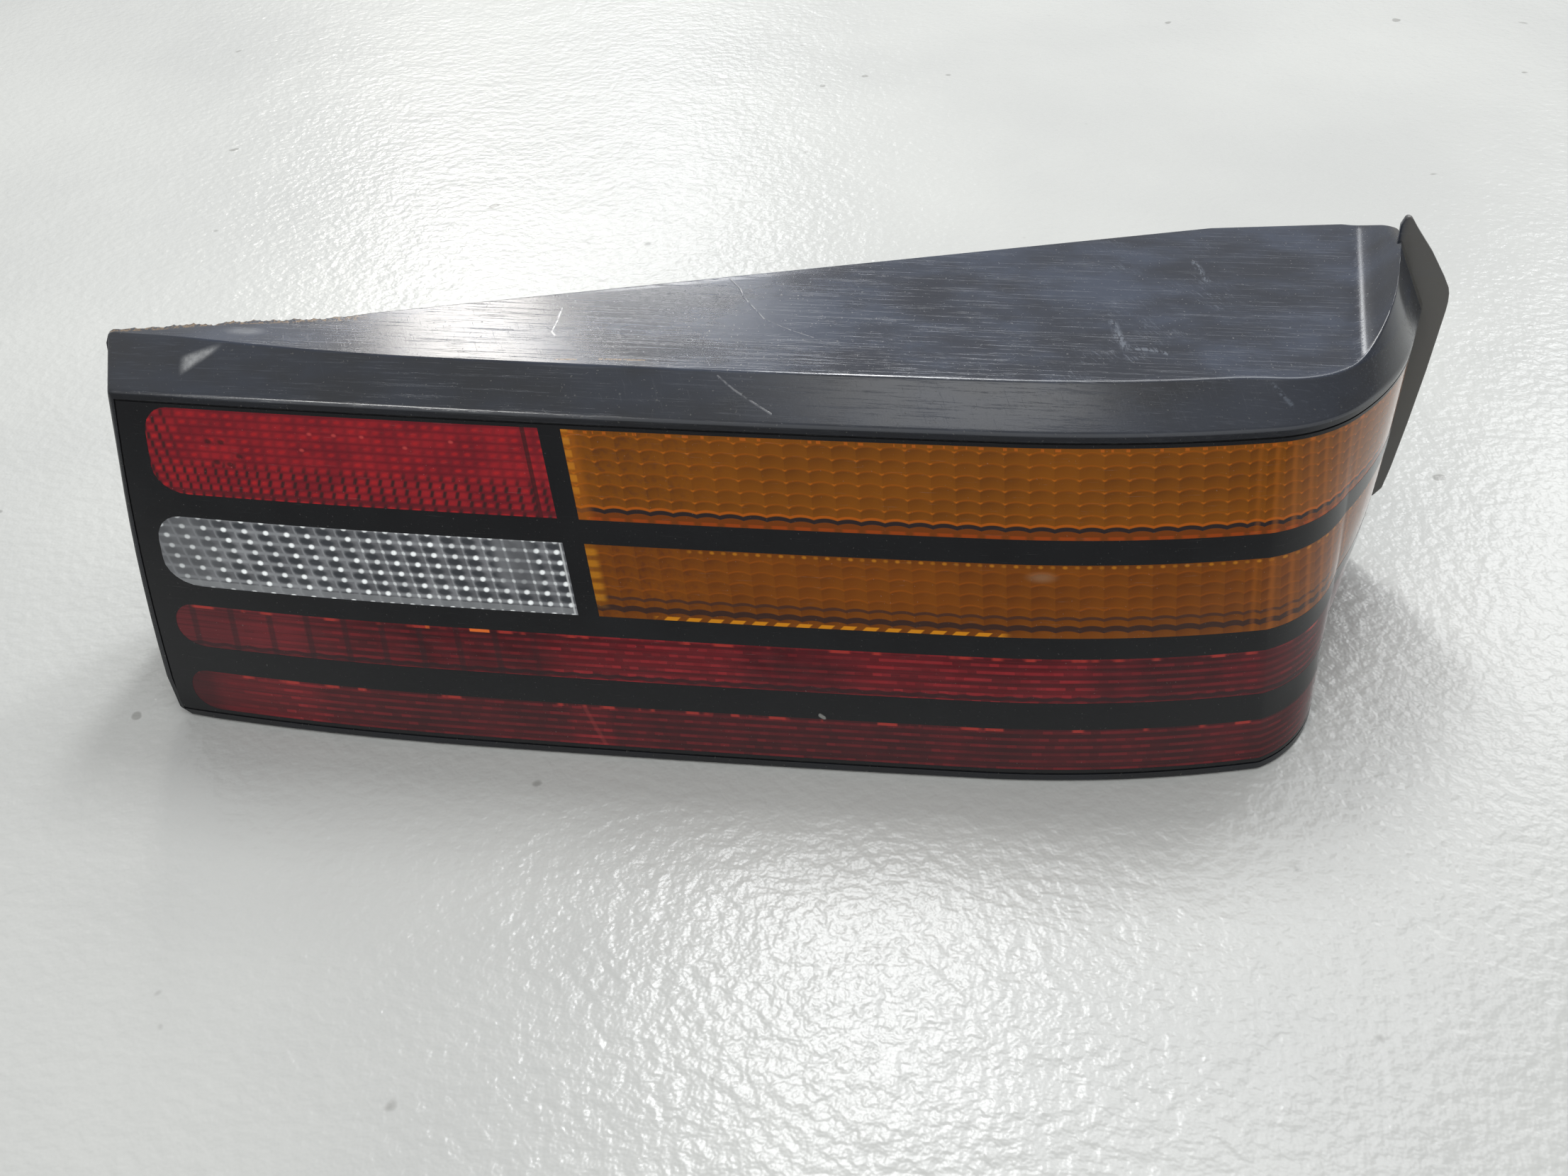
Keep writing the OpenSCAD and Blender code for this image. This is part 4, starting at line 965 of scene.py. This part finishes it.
# Dark red bands of the tail and reflex lamps: two long strips of deeply dyed acrylic with fine ribs along
# them and dim uprights between. Painted light brightens them in places, where the ribs carry painted
# glints, and one painted glint sits on the upper band's top edge.
RIB = 2.6
deep = Finish("lens_dark_red_optics", 0.12)
s, t = deep.lens_place()
ribs = deep.noise(deep.vector(s * 0.012, t), 0.9, 3.0, 0.6)
beat = (t / RIB - (t / RIB).floor() - 0.5).near(0.0, 0.12, 0.14)
patch = deep.noise(deep.vector(s, t * 0.4), 0.05, 3.0)
upper = t.ramp(91.0, 90.0)
# Painted light: stretches of the bands where they catch light.
painted_light = s.near(175.0, 28.0, 16.0).most(s.near(299.0, 34.0, 16.0)) * upper
painted_light = painted_light.most(s.near(35.0, 14.0, 10.0).most(s.near(150.0, 5.0, 4.0)) * (1.0 - upper))
deep.ground(66, 18, 24)
deep.over(patch.ramp(0.35, 0.7), 92, 22, 30)
deep.over(painted_light * 0.5, 118, 24, 32)
deep.over(upper * s.ramp(75.0, 45.0) * 0.45, 128, 44, 50)
deep.over((1.0 - upper) * s.ramp(50.0, 75.0) * 0.25, 36, 14, 18)
deep.over(ribs.ramp(0.42, 0.62) * 0.5, 48, 18, 22)
rib = (t / RIB).floor()
bit = deep.chance((s / 3.4 + rib * 0.4).floor(), rib)
# Painted glints on the ribs, stronger in the painted light.
bright_bits = (0.08 + bit * 0.3 + painted_light * bit * 0.5) * s.ramp(6.0, 60.0)
deep.over(beat * bright_bits, 160, 40, 46)
upright = (s / 13.5).from_whole().near(0.0, 0.05, 0.06) * s.ramp(150.0, 120.0) * upper
deep.over(upright * 0.6, 50, 26, 30)
wavy = t - (s * 0.76).sine() * 0.25
deep.over(wavy.near(85.6, 0.5, 0.3) * 0.75, 42, 24, 28)
top_edge = t.near(72.0, 0.35, 0.25) * deep.noise(deep.vector(s), 0.09, 2.0).ramp(0.5, 0.6)
low_edge = t.near(96.9, 0.35, 0.25) * deep.noise(deep.vector(s, 5.0), 0.12, 2.0).ramp(0.52, 0.6)
deep.over(top_edge.most(low_edge) * 0.7, 190, 60, 50)
# Painted glint: one bright spot on the upper band's top edge.
edge_glint = t.near(71.9, 0.45, 0.25) * s.near(116.5, 3.2, 0.6).most(s.near(98.0, 0.5, 0.5) * 0.5)
deep.over(edge_glint, 244, 120, 50)
deep.over(deep.line(s, t, [(148.0, 97.5), (152.5, 110.0)], 0.3, 0.8) * 0.25, 170, 66, 64)
lens_gloss(deep, s, t, 1.3)
coloured(red_up, deep)
coloured(red_low, deep)


# Sealant: a bead of dull black mastic pressed between the lens and the housing's rim, which
# glues the two together and shows as the thin dark joint all round.
seal_s = [-SEAL_W, 0.0] + stations(0.0, S_LENS)[1:-1] + [S_LENS, S_LENS + SEAL_W]
seal_t = [-SEAL_W, 0.0] + [float(t) for t in np.linspace(0.0, LENS_H, 12)[1:-1]] + [LENS_H, LENS_H + SEAL_W]
last_s, last_t = len(seal_s) - 2, len(seal_t) - 2
seal = slab("lens_sealant", seal_s, seal_t, 0.45, LENS_T,
            keep=lambda i, j: i in (0, last_s) or j in (0, last_t))
stands_for(seal, "lens_seal")
mastic = Finish("sealant_black", 0.6, specular=0.3)
x, y, z = mastic.drawing()
lump = mastic.noise(mastic.vector(x, y, z), 0.6, 3.0)
mastic.feed("Base Color", mastic.mix(lump.ramp(0.45, 0.75), shown(22, 22, 24), shown(52, 51, 50)))
mastic.bump(lump, 0.0002)
coloured(seal, mastic)


# Reflectors: four chamber inserts, moulded and metallised, open towards the lens. Like the other
# inner pieces they keep the form of the plain solids, with facets merged; some of the others also have
# their edges broken.
def finished(node, finish, bevel=0.0, degrees=35.0):
    """A copy of a plain solid in its place, its doubles merged, its edges broken by a bevel in mm."""
    work = bmesh.new()
    work.from_mesh(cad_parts[node].data)
    bmesh.ops.remove_doubles(work, verts=work.verts, dist=0.000002)
    bmesh.ops.dissolve_limit(work, angle_limit=math.radians(0.6), verts=work.verts, edges=work.edges)
    mesh = bpy.data.meshes.new(node + "_made")
    work.to_mesh(mesh)
    work.free()
    piece = linked(node + "_made", mesh)
    if bevel:
        with_modifier(piece, "BEVEL", width=bevel * 0.001, segments=2, limit_method="ANGLE",
                      angle_limit=math.radians(degrees))
    shade(piece, degrees)
    coloured(piece, finish)
    stands_for(piece, node)


def mottled(name, first, second, scale, roughness, metallic=0.0, specular=0.5, relief=0.00003):
    """A finish that wanders between two colours, with a fine grain at a scale per millimetre."""
    finish = Finish(name, roughness, metallic, specular)
    place = finish.vector(*finish.drawing())
    cloud = finish.noise(place, scale * 0.1, 3.0)
    grain = finish.noise(place, scale, 2.0)
    colour = finish.mix(cloud.ramp(0.32, 0.68), first, second)
    finish.feed("Base Color", colour)
    finish.feed("Roughness", roughness - 0.06 + cloud * 0.14)
    finish.bump(grain, relief)
    return finish


silver = mottled("metallised", shown(214, 216, 220), shown(190, 194, 200), 0.8, 0.16, metallic=1.0)
for node in ("reflector_fog", "reflector_reverse", "reflector_turn", "reflector_tail"):
    finished(node, silver)


# Bulbs: glass envelopes on stamped caps, which push into the carrier's holder tubes; the one for
# the indicator has amber glass.
glass = mottled("bulb_glass", shown(244, 244, 240), shown(232, 232, 226), 0.5, 0.06)
glass.shader.inputs["Transmission Weight"].default_value = 0.9
amber_glass = mottled("bulb_glass_amber", shown(248, 190, 90), shown(240, 170, 60), 0.5, 0.06)
amber_glass.shader.inputs["Transmission Weight"].default_value = 0.9
for node in ("bulb_fog", "bulb_reverse", "bulb_stop", "bulb_tail"):
    finished(node, glass)
finished("bulb_turn", amber_glass)
cap_metal = mottled("cap_metal", shown(206, 194, 160), shown(176, 162, 126), 1.5, 0.28, metallic=1.0)
finished("bulb_caps", cap_metal, bevel=0.3)


# Bulb carrier: a grey moulded plate on the back wall with a tube for each bulb, flat brass strips
# riveted to it and the harness socket with its blades.
grey = mottled("carrier_plastic", shown(94, 97, 100), shown(102, 105, 108), 1.2, 0.5)
finished("bulb_carrier", grey, bevel=0.5)
brass = mottled("contact_brass", shown(190, 160, 100), shown(158, 128, 74), 0.9, 0.34, metallic=1.0)
for node in ("contact_earth", "contact_left", "contact_right"):
    finished(node, brass, bevel=0.15)
finished("connector_pins", brass, bevel=0.15)
socket_black = mottled("connector_plastic", shown(44, 45, 48), shown(56, 57, 60), 1.4, 0.42)
finished("connector", socket_black, bevel=0.35)


# Carrier screws: four zinc-plated pan heads with a cross recess, driven through the plate into
# the back wall. One screw is made and set on each place by Geometry Nodes.
class Steps:
    """A Geometry Nodes tree in the making, with its named inputs."""

    def __init__(self, name, inputs):
        self.tree = bpy.data.node_groups.new(name, "GeometryNodeTree")
        self.tree.interface.new_socket("Geometry", in_out="INPUT", socket_type="NodeSocketGeometry")
        self.tree.interface.new_socket("Geometry", in_out="OUTPUT", socket_type="NodeSocketGeometry")
        for label, kind in inputs:
            self.tree.interface.new_socket(label, in_out="INPUT", socket_type="NodeSocket" + kind)
        self.given = self.tree.nodes.new("NodeGroupInput").outputs

    def make(self, kind, settings, values, out=0):
        return add_node(self.tree, kind, settings, values).outputs[out]

    def close(self, geometry):
        """Realize what was instanced, give it its finish and hand it out."""
        solid = self.make("GeometryNodeRealizeInstances", {}, {0: geometry})
        finish = self.given["Finish"]
        solid = self.make("GeometryNodeSetMaterial", {}, {"Geometry": solid, "Material": finish})
        self.tree.links.new(solid, self.tree.nodes.new("NodeGroupOutput").inputs[0])


def grown(name, steps, places, values):
    """The mesh that a tree grows on points of the drawing, with its inputs set by identifier."""
    piece = mesh_piece(name, places, [])
    modifier = piece.modifiers.new("grow", "NODES")
    modifier.node_group = steps.tree
    for item in steps.tree.interface.items_tree:
        if item.in_out == "INPUT" and item.name in values:
            modifier[item.identifier] = values[item.name]
    graph = bpy.context.evaluated_depsgraph_get()
    made = bpy.data.meshes.new_from_object(piece.evaluated_get(graph))
    piece.modifiers.clear()
    piece.data = made
    return piece


def at_origin(piece):
    """The piece's mesh moved back from the lamp's seat, to be set on places later."""
    piece.data.transform(Matrix.Translation(-Vector(SEAT * 0.001)))
    return piece


zinc = mottled("zinc_plate", shown(176, 178, 182), shown(150, 152, 156), 2.0, 0.3, metallic=1.0)
on_places = Steps("set_on_places", [("Shape", "Object"), ("Turn", "Rotation"), ("Finish", "Material")])
shape = on_places.make("GeometryNodeObjectInfo", {}, {"Object": on_places.given["Shape"]}, "Geometry")
on_places.close(on_places.make("GeometryNodeInstanceOnPoints", {}, {
    "Points": on_places.given["Geometry"], "Instance": shape, "Rotation": on_places.given["Turn"]}))
screw = at_origin(turned("screw", (0, 0, 0), [
    (1.3, -1.5), (1.75, -1.0), (1.75, 3.0), (3.5, 3.0), (3.6, 3.2), (3.55, 3.9), (3.1, 4.6), (2.2, 5.05),
    (1.0, 5.2), (0.01, 5.2)], 24))
arm = [(-0.38, 3.9, -1.7), (0.38, 3.9, -1.7), (0.38, 3.9, 1.7), (-0.38, 3.9, 1.7),
       (-0.38, 6.0, -1.9), (0.38, 6.0, -1.9), (0.38, 6.0, 1.9), (-0.38, 6.0, 1.9)]
arm_faces = [(0, 1, 2, 3), (7, 6, 5, 4), (0, 4, 5, 1), (1, 5, 6, 2), (2, 6, 7, 3), (3, 7, 4, 0)]
for points in (arm, [(z, y, -x) for x, y, z in arm]):
    recess = at_origin(mesh_piece("recess", points, arm_faces))
    shade(recess, 30.0)
    shade(screw, 40.0)
    with_modifier(screw, "BOOLEAN", operation="DIFFERENCE", solver="EXACT", object=recess)
    bpy.data.objects.remove(recess)
screws = grown("carrier_screws_made", on_places, [on_wall(q, z) for q, z in SCREWS],
               {"Shape": screw, "Turn": (0.0, 0.0, BACK_ANGLE), "Finish": zinc.material})
bpy.data.objects.remove(screw)
shade(screws, 35.0)
stands_for(screws, "carrier_screws")


# Mounting studs: four plated studs with a rolled thread, their heads moulded into the bosses.
# Geometry Nodes wind the thread round the core and set it on each boss.
STUD_LEN, STUD_HOLD, BOSS_H = 18.0, 7.0, 9.0
winding = Steps("threaded_stud", [("Core", "Float"), ("Ridge", "Float"), ("Length", "Float"),
                                  ("Turns", "Float"), ("Head", "Float"), ("Hold", "Float"),
                                  ("Finish", "Material")])
given = winding.given
rods = []
for sides, radius, length, middle in ((24, "Core", "Length", 0.5), (32, "Head", "Hold", -0.5)):
    rod = winding.make("GeometryNodeMeshCylinder", {}, {
        "Vertices": sides, "Radius": given[radius], "Depth": given[length]})
    lift = winding.make("ShaderNodeMath", {"operation": "MULTIPLY"}, {0: given[length], 1: middle})
    rods.append(winding.make("GeometryNodeTransform", {}, {
        "Geometry": rod, "Translation": winding.make("ShaderNodeCombineXYZ", {}, {2: lift})}))
run = winding.make("ShaderNodeMath", {"operation": "MULTIPLY"}, {0: given["Length"], 1: 0.93})
spiral = winding.make("GeometryNodeCurveSpiral", {}, {
    "Resolution": 20, "Rotations": given["Turns"], "Start Radius": given["Core"],
    "End Radius": given["Core"], "Height": run})
round_edge = winding.make("GeometryNodeCurvePrimitiveCircle", {}, {
    "Resolution": 6, "Radius": given["Ridge"]})
thread = winding.make("GeometryNodeCurveToMesh", {}, {
    "Curve": spiral, "Profile Curve": round_edge, "Fill Caps": True})
thread = winding.make("GeometryNodeTransform", {}, {"Geometry": thread, "Translation": (0.0, 0.0, 0.0004)})
bundle = winding.tree.nodes.new("GeometryNodeJoinGeometry")
for part in (*rods, thread):
    winding.tree.links.new(part, bundle.inputs[0])
winding.close(winding.make("GeometryNodeInstanceOnPoints", {}, {
    "Points": given["Geometry"], "Instance": bundle.outputs[0], "Rotation": (-math.pi / 2, 0.0, 0.0)}))
stud_places = [(x, edge_y(x) - BACK_INSET + BOSS_H, z) for x, z in STUDS]
studs = grown("studs_made", winding, stud_places, {
    "Core": 0.00262, "Ridge": 0.00036, "Length": STUD_LEN * 0.001, "Turns": 15.0, "Head": 0.0045,
    "Hold": STUD_HOLD * 0.001, "Finish": zinc.material})
shade(studs, 50.0)
stands_for(studs, "studs")


# Foam and rubber: the gasket round the carrier and the rings on the studs are cut from closed-cell
# foam, and the breather is a rubber cap pressed into the back wall.
foam = mottled("gasket_foam", shown(46, 46, 48), shown(62, 62, 63), 2.6, 0.85, specular=0.2, relief=0.00025)
finished("body_gasket", foam, bevel=0.7)
finished("stud_seals", foam, bevel=0.6)
rubber = mottled("vent_rubber", shown(36, 36, 38), shown(50, 50, 51), 1.2, 0.6, specular=0.35)
finished("vent_cap", rubber, bevel=0.6)


# Floor and light: a pale painted floor with a glossy orange-peel skin, in a white workshop. Windows
# and lamps behind and over the tail lamp light the shelf and draw the sheen on the floor, and a
# narrow one in front on the left lights the windows.
floor_mesh = bpy.data.meshes.new("floor")
floor_mesh.from_pydata([(-4, -4, 0), (4, -4, 0), (4, 6, 0), (-4, 6, 0)], [], [(0, 1, 2, 3)])
floor = linked("floor", floor_mesh)
paint = Finish("floor_paint", 0.3)
place = paint.make("TexCoord", {}, {}, "Object")
peel = paint.noise(place, 210.0, 2.0)
swell = paint.noise(place, 45.0, 2.0)
stain = paint.noise(place, 4.0, 4.0)
grit = paint.noise(place, 60.0, 1.0).ramp(0.76, 0.80)
paint.ground(206, 207, 204)
paint.over(stain.ramp(0.3, 0.7), 216, 217, 213)
paint.over(grit * 0.5, 120, 118, 112)
paint.feed("Base Color", paint.colour)
paint.feed("Roughness", 0.2 + stain * 0.12)
paint.bump(peel * 0.6 + swell * 0.6, 0.001)
coloured(floor, paint)


def soft_lamp(name, place, width, height, watts, colour):
    """A soft rectangular lamp that faces the middle of the tail lamp."""
    light = bpy.data.lights.new(name, "AREA")
    light.shape = "RECTANGLE"
    light.size = width
    light.size_y = height
    light.energy = watts
    light.color = colour
    lamp = linked(name, light)
    aim = Vector((0.0, 0.0, 0.1)) - Vector(place)
    lamp.matrix_world = Matrix.Translation(place) @ aim.to_track_quat("-Z", "Y").to_matrix().to_4x4()


soft_lamp("lamp_back_left", (-0.86, 2.03, 1.37), 0.28, 0.8, 7.8, (1.0, 0.97, 0.93))
soft_lamp("lamp_back_far_left", (-1.28, 1.78, 1.37), 0.5, 0.7, 0.6, (0.98, 0.99, 1.0))
soft_lamp("lamp_far_window", (-0.75, 3.4, 1.72), 0.45, 0.5, 6.0, (0.98, 0.99, 1.0))
soft_lamp("lamp_over_back", (0.35, 1.0, 1.62), 0.9, 0.6, 6.6, (0.96, 0.98, 1.0))
soft_lamp("lamp_over_spot", (-0.07, 1.0, 1.6), 0.22, 0.5, 9.0, (0.98, 0.99, 1.0))
soft_lamp("lamp_overhead", (0.12, -0.45, 1.5), 0.45, 0.4, 1.2, (0.98, 0.99, 1.0))
soft_lamp("lamp_back_right", (1.2, 1.86, 1.5), 0.5, 0.7, 7.0, (0.98, 0.99, 1.0))
soft_lamp("lamp_front_left", (-0.9, -1.5, 1.6), 0.5, 0.12, 6.0, (1.0, 0.99, 0.97))

world = bpy.data.worlds.new("workshop")
bpy.context.scene.world = world
world.use_nodes = True
sky = world.node_tree
facing = add_node(sky, "ShaderNodeTexCoord", {}, {}).outputs["Generated"]
axes = add_node(sky, "ShaderNodeSeparateXYZ", {}, {0: facing}).outputs
lift = add_node(sky, "ShaderNodeMath", {"operation": "MULTIPLY_ADD"}, {0: axes[2], 1: 0.30, 2: 0.30})
rise = add_node(sky, "ShaderNodeMath", {"operation": "MULTIPLY_ADD"}, {
    0: axes[1], 1: 0.12, 2: lift.outputs[0]})
from_camera = add_node(sky, "ShaderNodeLightPath", {}, {}).outputs["Is Camera Ray"]
seen = add_node(sky, "ShaderNodeMix", {}, {0: from_camera, 2: rise.outputs[0], 3: 0.92})
sky.links.new(seen.outputs[0], sky.nodes["Background"].inputs["Strength"])
sky.nodes["Background"].inputs["Color"].default_value = (0.97, 0.985, 1.0, 1.0)
